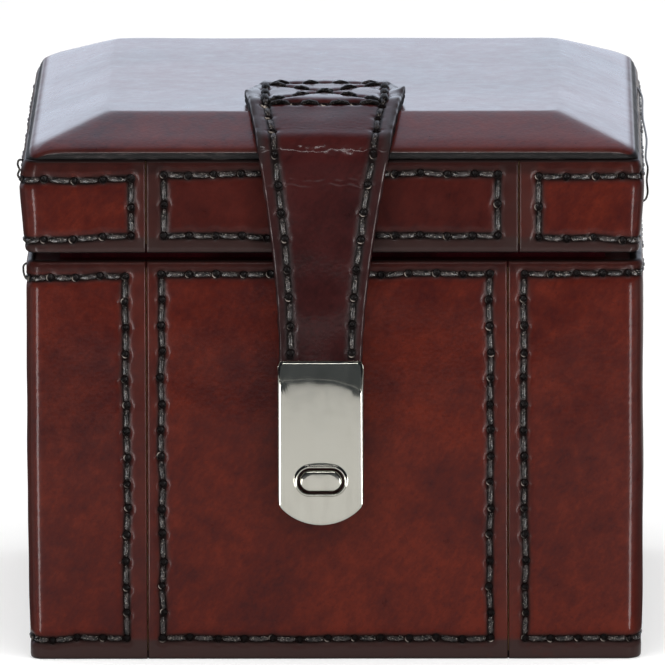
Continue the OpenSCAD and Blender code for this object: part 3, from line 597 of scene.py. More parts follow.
def woven_satin():
    """Rayon satin: red, with a soft band of light and threads 0.25 mm apart, drawn twice as coarse
    as they are so that they show."""
    material, tree = empty_material("woven_satin")
    spot = add(tree, "TexCoord", out="Object")
    where = add(tree, "Mapping", {"Vector": spot, "Scale": in_mm()})
    threads = add(tree, "TexWave", {
        "Vector": where, "Scale": 0.6, "Distortion": 0.4, "Detail": 1}, out="Fac", bands_direction="Y")
    shade = add(tree, "TexNoise", {"Vector": where, "Scale": 1 / 6, "Detail": 3, "Roughness": 0.55})
    fresh = add(tree, "MapRange", {"Value": shade, "From Min": 0.35, "From Max": 0.65})
    cloth = add(tree, "Mix", {0: fresh, 6: colour("#7d1720"), 7: colour("#9c2730")}, **COLOURS)
    gaps = add(tree, "MapRange", {"Value": threads, "To Max": 0.25})
    cloth = add(tree, "Mix", {0: gaps, 6: cloth, 7: colour("#5b0d15")}, **COLOURS)
    weave = add(tree, "Bump", {"Height": threads, "Distance": 0.03 * MM, "Strength": 0.4})
    satin = add(tree, "BsdfPrincipled", {
        "Base Color": cloth, "Normal": weave, "Roughness": 0.38, "IOR": 1.5, "Sheen Weight": 0.3,
        "Sheen Tint": colour("#e6a0a6")})
    add(tree, "OutputMaterial", {"Surface": satin})
    return material


def nickel_plate(name, wave_mm):
    """Polished nickel plate over brass: warm grey mirror with faint cloudy wipe marks 1.8 by 7 mm,
    and a surface that is not quite flat, by wave_mm in 5 mm, so that reflections waver."""
    material, tree = empty_material(name)
    spot = add(tree, "TexCoord", out="Object")
    where = add(tree, "Mapping", {"Vector": spot, "Scale": in_mm()})
    upright = add(tree, "Mapping", {"Vector": spot, "Scale": in_mm(z=4)})
    wipe = add(tree, "TexNoise", {"Vector": upright, "Scale": 1 / 1.8, "Detail": 4, "Roughness": 0.6})
    clean = add(tree, "MapRange", {"Value": wipe, "From Min": 0.3, "From Max": 0.7})
    grey = add(tree, "Mix", {0: clean, 6: colour("#a19f96"), 7: colour("#adaba2")}, **COLOURS)
    haze = add(tree, "MapRange", {
        "Value": wipe, "From Min": 0.35, "From Max": 0.7, "To Min": 0.09, "To Max": 0.16})
    waver = add(tree, "TexNoise", {"Vector": where, "Scale": 1 / 5, "Detail": 2, "Roughness": 0.55})
    wavy = add(tree, "Bump", {"Height": waver, "Distance": wave_mm * MM, "Strength": 1})
    nickel = add(tree, "BsdfPrincipled", {
        "Base Color": grey, "Roughness": haze, "Normal": wavy, "Metallic": 1})
    add(tree, "OutputMaterial", {"Surface": nickel})
    return material


def bright_steel():
    """Cold drawn steel wire and turned steel: cool grey with marks 0.2 mm wide along the drawing."""
    material, tree = empty_material("bright_steel")
    spot = add(tree, "TexCoord", out="Object")
    along = add(tree, "Mapping", {"Vector": spot, "Scale": in_mm(x=8)})
    lines = add(tree, "TexNoise", {"Vector": along, "Scale": 1 / 0.2, "Detail": 2, "Roughness": 0.55})
    grey = add(tree, "Mix", {0: lines, 6: colour("#8c8e91"), 7: colour("#a4a6a8")}, **COLOURS)
    drawn = add(tree, "MapRange", {
        "Value": lines, "From Min": 0.3, "From Max": 0.7, "To Min": 0.24, "To Max": 0.36})
    steel = add(tree, "BsdfPrincipled", {"Base Color": grey, "Roughness": drawn, "Metallic": 1})
    add(tree, "OutputMaterial", {"Surface": steel})
    return material


WALL_LEATHER = bridle_leather(
    "stained_bridle_leather", "#561b0f", "#45140d", "#360f0d", "#322220", 0.12, 0.3, 0.12)
LID_LEATHER = bridle_leather(
    "dark_bridle_leather", "#43150f", "#38110d", "#2c0d0c", "#30211f", 0.12, 0.3, 0.12)
TOP_LEATHER = bridle_leather(
    "polished_bridle_leather", "#4e180f", "#40120d", "#2c0a0a", "#2a1a18", 0.5, 1.0, 0.12)
STRAP_LEATHER = bridle_leather(
    "oiled_strap_leather", "#371211", "#2c0e0e", "#200a0a", "#272020", 0.1, 0.85, 0.14)
THREAD = waxed_linen("waxed_linen_thread", "#080606", "#332d2c", 0.8, 0.3)
BLACK_THREAD = waxed_linen("black_waxed_thread", "#030202", "#151212", 0.25, 0.06)
PRICKED = pricked_leather()
VELVET = cotton_velvet()
SATIN = woven_satin()
NICKEL = nickel_plate("polished_nickel_plate", 0.01)
NICKEL_TRIM = nickel_plate("tumbled_nickel_plate", 0.004)
FINISHES = {
    "chestnut_leather": WALL_LEATHER, "strap_leather": STRAP_LEATHER, "dyed_leather": dyed_split(),
    "board": poplar(), "velvet": VELVET, "satin": SATIN, "nickel": NICKEL_TRIM,
    "steel": bright_steel(),
}


def finish_cad_nodes():
    """Gives every CAD node the material of its slot in the record."""
    for part in frame["record"]["subparts"]:
        mesh = NODES[part["node"]].data
        mesh.materials.clear()
        mesh.materials.append(FINISHES[part["material_slot"]])


# ---- leather walls ----

def sew(name, runs, place_at, body, lip_at, rise=-0.06, level=-0.25, radius=THREAD_R, linen=THREAD):
    """The threads and the pricked holes of some runs, on the surface that place_at maps. rise is
    the height of a thread's crown and level that of the leather round its holes."""
    thread = skin(name + "_threads", place_at(*thread_rings(runs, rise, radius)), linen)
    rings, pale = hole_rings(runs, level, lip_at)
    pricks = skin(name + "_awl_holes", place_at(*rings), PRICKED)
    paint(pricks, pale=pale)
    for piece, slot in ((thread, "waxed_thread"), (pricks, "dyed_leather")):
        if body:
            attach(piece, body)
    return thread, pricks


def frame_corners(lines, length, drops):
    """The corners of a panel's frame of stitches, once round. lines holds its first and last s and
    its lowest and highest z. drops lowers the bottom row at the seams and at the upright corners,
    then the top row at both."""
    s0, s1, z0, z1 = lines
    if not drops:
        return [(s0, z0), (s1, z0), (s1, z1), (s0, z1), (s0, z0)]
    c0, c1 = corner_places(length)
    low, low_corner, high, high_corner = drops
    return [
        (s0, z0 - low), (c0, z0 - low_corner), (c1, z0 - low_corner), (s1, z0 - low),
        (s1, z1 - high), (c1, z1 - high_corner), (c0, z1 - high_corner), (s0, z1 - high),
        (s0, z0 - low)]


def wall_dyes_and_shade(plan, s, up, z, lines, near, look):
    """How much staining and painted shade and how much black dye each point of a wall has, from
    0 to 1. Staining lies along the stitches and outside their frame, and the leather is darker
    towards the rims. A wrap's upright corners are darkened where they turn sideways: that is
    painted shade. Dye lies in the stitches' groove, above the top row and on the very rims."""
    length = plan[-1, 0]
    from_rim = np.minimum(up - z[0], z[1] - up)
    above = up - lines[3]
    stain = 0.6 * bell(near, STAIN_HALF)
    for dark, past in zip(look["borders"], (lines[0] - s, s - lines[1], lines[2] - up, above)):
        stain = np.maximum(stain, dark * held(past / 0.8 + 0.4))
    stain = np.maximum(stain, 0.75 * np.exp(-from_rim / 0.5))
    # Painted shade: a wrap's upright corners darken with the border's colour as they turn sideways.
    turned = sideways(plan, s[:, :1])
    corner = (length > WRAP_OVER) * held(turned / 0.5) * bell(1 - turned, 0.9)
    near_corner = np.min([np.abs(s - place) for place in corner_places(length)], axis=0)
    stain = np.maximum(stain, 0.6 * corner * bell(near_corner, 2.2))
    ink = np.maximum(bell(near, DYE_HALF, 4), look["top_ink"] * held(above / 0.8 + 0.4))
    return stain, np.maximum(ink, held(1.3 - from_rim / 0.32))


def leather_wall(name, node, plan, z, inside, inset, drops, look, body, seed):
    """A panel of leather on a wall, and its frame of stitches. Its surface lies back from the plan
    by the rolled edges, the stitches' pull, a gentle unevenness and the wall's profile. inside is
    the half width and half depth of what it lies on, and inset is the stitches' distance from the
    start, the end, the bottom and the top."""
    length = plan[-1, 0]
    s_lines = spaced(0, length, GRID)
    s, up = np.meshgrid(s_lines, spaced(z[0], z[1], GRID), indexing="ij")
    lines = (inset[0], length - inset[1], z[0] + inset[2], z[1] - inset[3])
    runs = runs_through(frame_corners(lines, length, drops), PITCH)
    pull, near = pulled_in(s, up, runs)

    def lies_back(along, high):
        """The profile of the sides, as depths at heights, and a gentle unevenness."""
        uneven = 0.05 * (1 + swell(along, high, 15, seed))
        return np.interp(high, *look["profile"]) * sideways(plan, along) + uneven

    foot_roll, head_roll = look["rolls"]
    edges = (roll(np.minimum(s, length - s), SEAM_ROLL)
             + roll(up - z[0], foot_roll) + roll(z[1] - up, head_roll))
    outer = on_wall(plan, s, up, -(edges + pull + lies_back(s, up)))
    inner = on_wall(plan, s_lines[:, None], np.array([z[1], z[0]])[None, :], 0)
    for axis, half in enumerate(inside):
        inner[..., axis] = np.clip(inner[..., axis], -half, half)
    leather = look["leather"].get(node, WALL_LEATHER)
    panel = skin(name, np.concatenate([outer, inner], axis=1), leather)
    stain, ink = wall_dyes_and_shade(plan, s, up, z, lines, near, look)
    ends = np.ones(inner.shape[:2])
    paint(panel,
          stain=np.concatenate([stain, ends], axis=1),
          ink=np.concatenate([ink, 0 * ends], axis=1),
          worn=np.concatenate([bell(near, BARE_HALF, 4), ends], axis=1),
          cut=np.concatenate([0 * stain, ends], axis=1))
    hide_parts(node)
    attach(panel, body)

    def place_at(along, high, out):
        return on_wall(plan, along, high, out - lies_back(along, high))

    leftwards = plan[1, 1] < plan[0, 1]
    lip_at = math.radians(-40 if leftwards else -140)
    sew(name + "_stitching", runs, place_at, body, lip_at)


# A look holds, for body or lid:
#   rows     the stitches' distance from the bottom and from the top
#   flat     their distance from the two seams on front and back
#   wrap     their distance from the seams on the left wrap and on the right one
#   rolls    rounding of the foot and of the head
#   borders  how dark the leather is outside the frame: at its start, its end, below and above
#   top_ink  how much black dye is above the top row
#   longer   how far the leather reaches past its nodes, down and up
#   bulge    how far the left and the right wrap stand proud of a close fit
#   corner   radius of the upright corners, left and right
#   profile  how far the sides lie back, as heights and depths
#   drops    how the rows of stitches sag on a wrap
#   leather  the panels that aren't of the common leather
#   seed     the first of its panels' seeds
BODY_LOOK = {
    "rows": (3.4, 2.2), "flat": (2.3, 2.8), "wrap": (3.3, 2.6), "rolls": (0.6, 0.9),
    "borders": (0.3, 0.3, 0.95, 0.4), "top_ink": 0.45, "longer": (0, 0.3), "bulge": (0.05, 0.8),
    "corner": (2.3, 2.7), "profile": ((0, 10, 20, 30, 60, 64), (0.35, 0.19, 0.07, 0, 0, 0)),
    "drops": {"left": (0, 0, 0.4, 0.8)}, "leather": {}, "seed": 1,
}
LID_LOOK = {
    "rows": (2.8, 2.3), "flat": (2.8, 3.3), "wrap": (2.3, 3.1), "rolls": (0.7, 0.4),
    "borders": (0.5, 0.5, 0.95, 0.15), "top_ink": 0.5, "longer": (-0.4, 0.12), "bulge": (0.6, 0.5),
    "corner": (2.9, 2.3), "profile": ((67, 69, 71.2, 73.1, 75.3, 77.2, 79.2, 80.8, 81.7),
                                      (0.93, 0.7, 0.57, 0.42, 0.24, 0.13, 0.25, 0.55, 0.95)),
    "drops": {"left": (0, 1.0, 0.55, 1.0), "right": (0.3, 0.75, 0.3, 0.4)},
    "leather": {"lid_front_panel": LID_LEATHER, "lid_back_panel": LID_LEATHER}, "seed": 7,
}


def leather_walls(prefix, nodes, body, look):
    """The four panels of body or lid: front, back and the wraps of both sides. The wraps stand a
    little prouder than a close fit, and the panels nearly close the seams."""
    (f0, f1), (b0, b1), (l0, l1), (r0, r1) = (box_mm(node) for node in nodes)
    z = (f0[2] + look["longer"][0], f1[2] + look["longer"][1])
    thick = f1[1] - f0[1]
    hx, hy = r1[0], r1[1]
    left_bulge, right_bulge = look["bulge"]
    left_wrap = wrap_plan(-l1[0] - SEAM_CLOSER, hx + left_bulge, hy, look["corner"][0], -1)
    right_wrap = wrap_plan(r0[0] - SEAM_CLOSER, hx + right_bulge, hy, look["corner"][1], 1)
    plans = (
        ("front", straight_plan(f0[0] - SEAM_CLOSER, f1[0] + SEAM_CLOSER, -hy), look["flat"]),
        ("back", straight_plan(b0[0] - SEAM_CLOSER, b1[0] + SEAM_CLOSER, hy), look["flat"]),
        ("left", left_wrap, (look["wrap"][0],) * 2),
        ("right", right_wrap, (look["wrap"][1],) * 2),
    )
    for order, (node, (side, plan, insets)) in enumerate(zip(nodes, plans)):
        leather_wall(f"{prefix}_{side}_leather", node, plan, z, (hx - thick, hy - thick),
                     (*insets, *look["rows"]), look["drops"].get(side), look, body,
                     look["seed"] + order)


def body_walls():
    nodes = ("front_panel", "back_panel", "left_wrap", "right_wrap")
    leather_walls("body", nodes, "base", BODY_LOOK)


def lid_walls():
    nodes = ("lid_front_panel", "lid_back_panel", "lid_left_wrap", "lid_right_wrap")
    leather_walls("lid", nodes, "lid", LID_LOOK)


# ---- the lid's top ----

# the top's corners that are pinched down: the signs of x and y, how far down and how far around
TOP_DROOPS = ((-1, -1, 1.0, 2.6), (1, -1, 0.6, 1.8), (-1, 1, 0.5, 2.0), (1, 1, 0.5, 2.0))


def lid_top():
    """One sheet of leather over the bevelled top. Its height is a ramp of the distance from the
    nearest edge up to the flat, with the hips and the crease round the flat softened. Its edge is
    rolled over, its corners are pinched down, and it is a little fuller towards the back. It comes
    back underneath as its own thickness lower."""
    lo, hi = box_mm("lid_top_leather")
    hx, hy = hi[0], hi[1]
    board_hi = box_mm("lid_top_board")[1]
    thick = hi[2] - board_hi[2]
    rim_z = lo[2] + thick
    slope = (hi[2] - rim_z) / BEVEL_W

    def rings_at(inset):
        corner_r = np.maximum(TOP_CORNER_R - inset, 0.3)
        return square_rings(hx - inset, hy - inset, corner_r, 9, 120)

    def height(x, y, e):
        """The upper face, e from its edge."""
        near = soft_min(hx - np.abs(x), hy - np.abs(y), 1.5)
        puff = 0.3 * held(e / 4) * (2 - held(e / 4))
        ramp = slope * soft_min(near, BEVEL_W, 1.1) + puff
        lies = 0.06 * swell(x, y, 26, 21) * held(e / 3)
        fuller = 0.4 * held((y + 15) / 40)
        droop = sum(drop * bell(np.hypot(x - sx * hx, y - sy * hy), reach)
                    for sx, sy, drop, reach in TOP_DROOPS)
        raised = np.minimum(ramp + lies, slope * BEVEL_W + 0.1) * (1 + fuller / 4.5)
        return rim_z + raised - roll(e + 0.08, 0.7) - droop

    inset = np.concatenate([
        [0, 0.03, 0.07, 0.13, 0.2, 0.3, 0.42, 0.56, 0.75, 1.0, 1.35], np.arange(1.8, 11.4, 0.6),
        np.arange(11.6, 14.2, 0.3), np.arange(15, hx - 1, 1.6), [hx - 0.4],
    ])
    e = inset[:, None]
    x, y = rings_at(inset)
    top = np.stack([x, y, height(x, y, e)], axis=-1)

    # the raw edge: three rings below the rim, wavy, and fuller on the left and the right
    edge_x, edge_y, edge_z = (values[:1] for values in (x, y, top[..., 2]))
    on_side = held((np.abs(x) - np.abs(y) * hx / hy + 2.4 + e) / 2.4) * held((hy - np.abs(y)) / 1.5)
    belly = np.array([[0.06], [0.0], [-0.12]])
    wavy = 0.09 * swell(edge_x, edge_y, 7, 5) + 0.05 * swell(edge_x, edge_y, 2.2, 6)
    wider = np.array([[0.3], [0.52], [0.5]]) * on_side[:1]
    bigger = 1 + (belly + wavy * 0.6 + wider) / np.hypot(edge_x, edge_y)
    share = np.array([[0.56], [0.16], [0]])
    side = np.stack([edge_x * bigger, edge_y * bigger, lo[2] + (edge_z - lo[2]) * share], axis=-1)

    hollow = inset[inset >= hx - board_hi[0]]
    under_x, under_y = rings_at(hollow)
    under_z = height(under_x, under_y, hollow[:, None]) - thick - 0.05
    under_z[0] = lo[2]
    under = np.stack([under_x, under_y, under_z], axis=-1)

    sheet = skin("lid_top_sheet", np.concatenate([top[::-1], side, under]), TOP_LEATHER)
    raw = np.ones((len(side) + len(under), x.shape[1]))
    # Painted shade: the top darkens within about a millimetre of its rolled edge, where it turns down.
    paint(sheet, **{
        name: np.concatenate([np.broadcast_to(over, x.shape)[::-1], beyond]) for name, over, beyond in (
            ("stain", 0.6 * np.exp(-e / 0.8), raw),
            ("cut", held(1.3 - e / (0.04 + 0.3 * on_side)), raw),
            ("worn", bell(e - 0.65, 0.4), 0 * raw))})
    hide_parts("lid_top_leather")
    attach(sheet, "lid")


# ---- strap ----

class Strap:
    """The strap's middle layer, unrolled: t along it, a across it and h out of it."""

    def __init__(self):
        back_lo, back_hi = box_mm("strap_anchor")
        hasp_lo, hasp_hi = box_mm("hasp_plate")
        top_lo, top_hi = box_mm("lid_top_leather")
        hinge = next(joint for joint in frame["joints"] if joint["name"] == "strap_flex")["pos_m"]
        self.bend_y, self.bend_z = hinge[1] / MM, hinge[2] / MM
        self.flat_y = top_lo[1] + BEVEL_W
        self.wide_w = back_hi[0] - back_lo[0]
        self.anchor_x = (back_hi[0] + back_lo[0]) / 2
        self.hasp_x = (hasp_lo[0] + hasp_hi[0]) / 2
        self.end_z = box_mm("strap_tail")[0][2]
        mid_z = top_hi[2] + STRAP_T / 2
        corner_z = self.bend_z + STRAP_STANDS
        tilt = math.atan2(mid_z - corner_z, self.flat_y - self.bend_y)
        turn = self.flat_y - STRAP_T / 2 * math.tan(tilt / 2)
        corners = [(back_hi[1], mid_z), (turn, mid_z), (self.bend_y, corner_z),
                   (self.bend_y, self.end_z)]
        self.line = rounded_line(corners, [7.0, 4.0])
        self.slopes = np.gradient(self.line[:, 1:], self.line[:, 0], axis=0)
        self.length = self.line[-1, 0]
        self.crease_t = float(np.interp(-turn, -self.line[:, 1], self.line[:, 0]))
        self.bend_t = self.t_of_z(self.bend_z + 0.6)
        self.hasp_t = self.t_of_z(hasp_hi[2])

    def t_of_z(self, z):
        """The place along the hanging part at a height."""
        return self.length - (z - self.end_z)

    def share(self, t):
        """0 at the hasp and below it, 1 at the bend and above it."""
        return held((self.hasp_t - t) / (self.hasp_t - self.bend_t))

    def half(self, t):
        """Half the strap's width: straight flares on the lid, a trumpet curve where it hangs."""
        near = 1.5
        lid = np.interp(
            t, [0, STRAP_FLARE_L - near, STRAP_FLARE_L, STRAP_FLARE_L + near, self.bend_t],
            [STRAP_BACK_W, STRAP_NEAR_W[0], self.wide_w, STRAP_NEAR_W[1], STRAP_BEND_W])
        hang = STRAP_END_W + (STRAP_BEND_W - STRAP_END_W) * self.share(t) ** STRAP_CURVE
        return np.where(t < self.bend_t, lid, hang) / 2

    def stitch_line(self, t):
        """How far the two lines of stitches are from the strap's middle."""
        return self.half(t) - (1.7 + 0.9 * self.share(t))

    def middle(self, t):
        """The strap's middle in x: it runs a little aslant from the lid to the hasp."""
        return self.hasp_x + (self.anchor_x - self.hasp_x) * self.share(t)

    def curl(self, t, a):
        """How far the widest corners stand up, the right one more."""
        side = held((np.abs(a) / self.half(t) - 0.78) / 0.22) ** 1.6
        height = np.where(a > 0, 0.9, 0.25)
        return height * side * bell(t - STRAP_FLARE_L - 0.3, 1.8)

    def crinkles(self, t, a):
        """Fine broken creases across the bend, and a few faint ones above and below it."""
        past = t - self.bend_t
        over = bell(past - 0.3, 1.1)
        below = bell(past - 5.6, 0.9)
        above = bell(past + 5.5, 2.5)
        wave = np.sin(t * 6.5 + 2.2 * swell(a, 0 * a, 4, 31))
        wave = wave * (0.45 + 0.55 * swell(a, 1.5 * t, 1.9, 32))
        broken = 0.05 * swell(a, t, 1.1, 36) * over
        return wave * (0.06 * over + 0.045 * below + 0.02 * above) + broken

    def at(self, t, a, h):
        """The point at t along the strap, a across it and h out of its middle layer."""
        t, a, h = np.broadcast_arrays(t, a, h)
        y, z = (np.interp(t, self.line[:, 0], self.line[:, i]) for i in (1, 2))
        ty, tz = (np.interp(t, self.line[:, 0], self.slopes[:, i]) for i in (0, 1))
        size = np.hypot(ty, tz)
        h = h + self.curl(t, a)
        return np.stack([self.middle(t) + a, y + tz / size * h, z - ty / size * h], axis=-1)


def strap_edge_run(strap, side):
    """Holes along one edge of the strap, from the crossed box down to the hasp."""
    start, end = strap.crease_t - 2.2, strap.hasp_t - 1.2
    count = round((end - start) / STRAP_PITCH)
    along = np.linspace(start, end, count + 1)
    along[1:-1] += CHANCE.normal(0, 0.15, count - 1)
    across = side * strap.stitch_line(along) + CHANCE.normal(0, 0.1, count + 1)
    return np.column_stack([along, across])


def strap_box_runs(strap):
    """Holes of the crossed box that holds the strap: its left and right sides, its two diagonals,
    its back and its front."""
    back_t, front_t = 3.0, strap.crease_t + 1.6
    back_left, back_right = (back_t, -BOX_HALF), (back_t, BOX_HALF)
    front_left, front_right = (front_t, -BOX_HALF), (front_t, BOX_HALF)
    return [holes_between(start, end, BOX_PITCH) for start, end in (
        (back_left, back_right), (front_left, front_right), (back_left, front_right),
        (back_right, front_left), (back_left, front_left), (back_right, front_right))]


def strap_band(strap, edge_runs, box_runs):
    """The strap as one closed band, from its sewn end to its round end behind the hasp: each
    section is flat with rounded top corners and a raw edge of two layers. Its top is pulled in by
    the stitches, padded a little between their lines, creased at the bend and gently uneven."""
    t_lines = np.concatenate([
        spaced(0, strap.bend_t - 4, 0.4)[:-1], np.arange(strap.bend_t - 4, strap.bend_t + 7, 0.2),
        np.arange(strap.bend_t + 7, strap.hasp_t, 0.35), spaced(strap.hasp_t, strap.length, 1.2),
    ])
    t = t_lines[:, None]
    half = strap.half(t)
    left_over = strap.length - t
    below = np.sqrt(np.maximum(
        STRAP_END_R ** 2 - (STRAP_END_R - np.clip(left_over, 0, STRAP_END_R)) ** 2, 0.6))
    half = np.where(left_over < 4, np.minimum(half, below), half)
    a = spaced(-1, 1, 0.036, (0, 0.008, 0.022, 0.045))[None] * half
    inset = half - np.abs(a)
    from_line = np.abs(a) - strap.stitch_line(t)
    above_hasp = t < strap.hasp_t

    groove = 0.2 * bell(from_line, 0.8) * (t > strap.crease_t - 2) * above_hasp
    for hole_t, hole_a in np.vstack(edge_runs):
        hole = np.exp(-((t - hole_t) ** 2 + (a - hole_a) ** 2) / 0.6)
        groove = np.maximum(groove, 0.52 * hole)
    box_pull, box_near = pulled_in(t + 0 * a, a, box_runs)
    groove = np.maximum(groove, box_pull)
    pillow = 0.12 * held(-from_line / 3)
    top_h = STRAP_T / 2 - roll(inset, 0.38) - groove + pillow + strap.crinkles(t, a)
    top_h = top_h + 0.07 * swell(a, t + 0 * a, 9, 33) * held(inset / 2)
    outer = strap.at(t, a, top_h)
    layers = np.array([[0.35, 0.0, -0.22, -0.34, -0.5, -0.9]])
    bulge = np.array([[0.05, 0.06, 0.03, -0.1, 0.02, 0.0]])
    rough_edge = 0.07 * swell(t, 3 + 0 * t, 3.0, 34)
    right = strap.at(t, half + bulge + rough_edge, layers)
    left = strap.at(t, -half - bulge[:, ::-1] - rough_edge, layers[:, ::-1])
    bottom = strap.at(t, half * np.array([[0.97, 0.3, -0.3, -0.97]]), -STRAP_T / 2 + 0.02)
    rings = np.concatenate([outer, right, bottom, left], axis=1)
    band = skin("strap", rings, STRAP_LEATHER)

    by_stitches = (t > strap.crease_t - 3) * above_hasp
    hangs = held((t - strap.bend_t) / 4)
    stain = np.maximum(bell(from_line, 1.0) * by_stitches,
                       (0.8 - 0.4 * hangs) * held(1.15 - inset / 2.6))
    stain = np.maximum(stain, 0.5 * bell(box_near, 0.9))
    ink = np.maximum(bell(from_line, 0.65, 4) * by_stitches, bell(box_near, 0.5, 4))
    worn = held(1.5 - inset / 0.6) * held(0.7 + 0.9 * swell(t, a, 3.5, 35))
    worn = np.maximum(worn, held(groove / 0.07) * by_stitches * hangs)
    worn = np.maximum(worn, 0.35 * held((t - strap.bend_t - 8) / 8))
    edges = np.ones((len(t_lines), rings.shape[1] - outer.shape[1]))
    paint(band,
          stain=np.concatenate([stain, edges], axis=1),
          ink=np.concatenate([ink, 0 * edges], axis=1),
          cut=np.concatenate([0 * stain, edges], axis=1),
          worn=np.concatenate([worn, edges], axis=1))
    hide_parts("strap_anchor", "strap_tail", "strap_backing")
    return band


def strap_pieces():
    """The strap and its stitches: two lines follow its edges, and a crossed box holds it on the lid."""
    strap = Strap()
    edge_runs = [strap_edge_run(strap, side) for side in (-1, 1)]
    box_runs = strap_box_runs(strap)
    band = strap_band(strap, edge_runs, box_runs)

    def place_at(along, over, out):
        return strap.at(along, over, out + STRAP_T / 2 + strap.crinkles(along, over))

    lip_at = math.radians(-40)
    edge = sew("strap_edge", edge_runs, place_at, None, lip_at, rise=0.0, level=-0.12)
    box = sew("strap_box", box_runs, place_at, None, lip_at, rise=0.2, radius=BOX_THREAD_R,
              linen=BLACK_THREAD)
    rises = box_mm("strap_anchor")[1][2] - strap.bend_z
    for piece in (band, *edge, *box):
        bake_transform(piece)
    return strap


# ---- hasp and button ----

def oval_reach(half_w, half_h, angle):
    """How far an oval with round ends reaches from its middle in each direction: up to a straight
    side where the ray meets it, else up to the end's circle."""
    cos, sin = np.abs(np.cos(angle)), np.abs(np.sin(angle))
    shift = half_w - half_h
    straight = half_h / np.maximum(sin, 1e-6)
    ends = shift * cos + np.sqrt(np.maximum(half_h ** 2 - (shift * sin) ** 2, 0))
    return np.where(straight * cos <= shift, straight, ends)


def hasp_pieces(strap):
    """The hasp plate: rings go from its back, over a rolled edge, across the face to a raised
    oval rim and back through the hole. The top of the face leans back."""
    lo, hi = box_mm("hasp_plate")
    plate_back = hi[1]
    face = plate_back - HASP_T
    button_lo, button_hi = box_mm("catch_button")
    hole_z = (button_lo[2] + button_hi[2]) / 2
    angle = np.linspace(0, 2 * math.pi, 220, endpoint=False) + math.pi / 4

    def outline(inset):
        """How far the plate reaches from the hole's middle: the nearest of its sides, top and
        round bottom, with the corners between them rounded by a high power mean."""
        cos, sin = np.cos(angle), np.sin(angle)
        nowhere, power = 1e6, 30.0
        circle_r, up = HASP_BOTTOM_R - inset, lo[2] + HASP_BOTTOM_R - hole_z
        side = ((hi[0] - lo[0]) / 2 - inset) / np.maximum(np.abs(cos), 1e-6)
        top = np.where(sin > 1e-6, (hi[2] - hole_z - inset) / np.maximum(sin, 1e-6), nowhere)
        arc = up * sin + np.sqrt(np.maximum(circle_r ** 2 - (up * cos) ** 2, 0))
        arc = np.where(sin < 0.0, arc, nowhere)
        return (side ** -power + top ** -power + arc ** -power) ** (-1 / power)

    def ring(reach, y):
        x = strap.hasp_x + reach * np.cos(angle)
        z = hole_z + reach * np.sin(angle)
        return np.stack([x, y + 0 * x, z], axis=-1)

    def face_ring(reach, y):
        """A ring of the face, whose top leans back above a wavering line: a slope that starts
        softly."""
        flat = ring(reach, y)
        across = (flat[:, 0] - strap.hasp_x) / 7
        line = hi[2] - 3.35 + 0.45 * np.cos(2.2 * across + 0.5) - 2.2 * held(across - 0.3) ** 1.6
        over = flat[:, 2] - line
        flat[:, 1] += 0.13 * (over + np.sqrt(over ** 2 + 0.12)) / 2
        return flat

    rim_w = 0.6
    inner = oval_reach(HOLE_HALF[0] + rim_w, HOLE_HALF[1] + rim_w, angle)
    outer = outline(0.9)
    rings = [ring(outline(inset), plate_back - y)
             for inset, y in ((2.5, 0), (0.25, 0), (0.03, 0.08), (0, 0.25))]
    rings += [face_ring(outline(inset), face + roll(inset, HASP_EDGE_R))
              for inset in (0.0, 0.03, 0.09, 0.18, 0.3, 0.42, 0.55, 0.9)]
    rings += [face_ring(outer + (inner - outer) * share, face) for share in np.linspace(0, 1, 46)[1:]]
    rings += [ring(oval_reach(HOLE_HALF[0] + out, HOLE_HALF[1] + out, angle), face - y)
              for out, y in ((0.48, 0.03), (0.43, 0.12), (0.36, 0.22), (0.27, 0.29), (0.17, 0.3),
                             (0.08, 0.24), (0.02, 0.13), (0, 0))]
    rings += [ring(oval_reach(*HOLE_HALF, angle), plate_back - y) for y in (0.1, 0)]
    plate = skin("hasp", rings, NICKEL, joined=True)
    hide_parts("hasp_plate")
    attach(plate, "strap")
    button_piece(ring, angle)


def button_piece(ring, angle):
    """The push button: an oval stem with a domed, bevelled face, its flange and its spring seat."""
    lo, hi = box_mm("catch_button")
    catch_y = box_mm("front_panel")[0][1]
    flange_r, flange_y0, flange_y1 = (hi[2] - lo[2]) / 2, catch_y + 0.1, catch_y + 0.9
    seat_r = 1.75
    w, h = BUTTON_HALF
    face = lo[1]
    rings = [ring(oval_reach(max(w * f, 0.05), max(h * f, 0.04), angle), face + 0.05 * f ** 2)
             for f in (0.02, 0.3, 0.5, 0.62, 0.7)]
    rings += [ring(oval_reach(w - inset, h - inset, angle), face + y)
              for inset, y in ((0.48, 0.06), (0.36, 0.1), (0.24, 0.17), (0.12, 0.28), (0.03, 0.42),
                               (0, 0.6))]
    rings.append(ring(oval_reach(w, h, angle), flange_y0))
    rings += [ring(oval_reach(radius, radius, angle), y) for radius, y in (
        (flange_r - 0.05, flange_y0), (flange_r, flange_y0 + 0.08), (flange_r, flange_y1 - 0.08),
        (flange_r - 0.08, flange_y1), (seat_r, flange_y1), (seat_r, hi[1] - 0.15),
        (seat_r - 0.15, hi[1]))]
    button = skin("push_button", rings, NICKEL)
    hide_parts("catch_button")
    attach(button, "button")


# ---- loose threads ----

def loose_thread(name, points, body):
    """A thread end that came loose: a round thread along a smooth line through its points."""
    points = np.array(points, float)
    at = np.arange(len(points))
    fine = np.linspace(0, at[-1], 14 * len(points))
    line = np.column_stack([np.interp(fine, at, points[:, i]) for i in range(3)])
    for _ in range(30):
        line[1:-1] = (line[:-2] + 2 * line[1:-1] + line[2:]) / 4
    way = np.gradient(line, axis=0)
    way /= np.linalg.norm(way, axis=1, keepdims=True)
    side = np.cross(way, [0, 1, 0.3])
    side /= np.linalg.norm(side, axis=1, keepdims=True)
    up = np.cross(side, way)
    around = np.linspace(0, 2 * math.pi, 8, endpoint=False)[None, :, None]
    rings = line[:, None] + LOOSE_R * (np.cos(around) * side[:, None] + np.sin(around) * up[:, None])
    thread = skin(name, rings, THREAD)
    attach(thread, body)


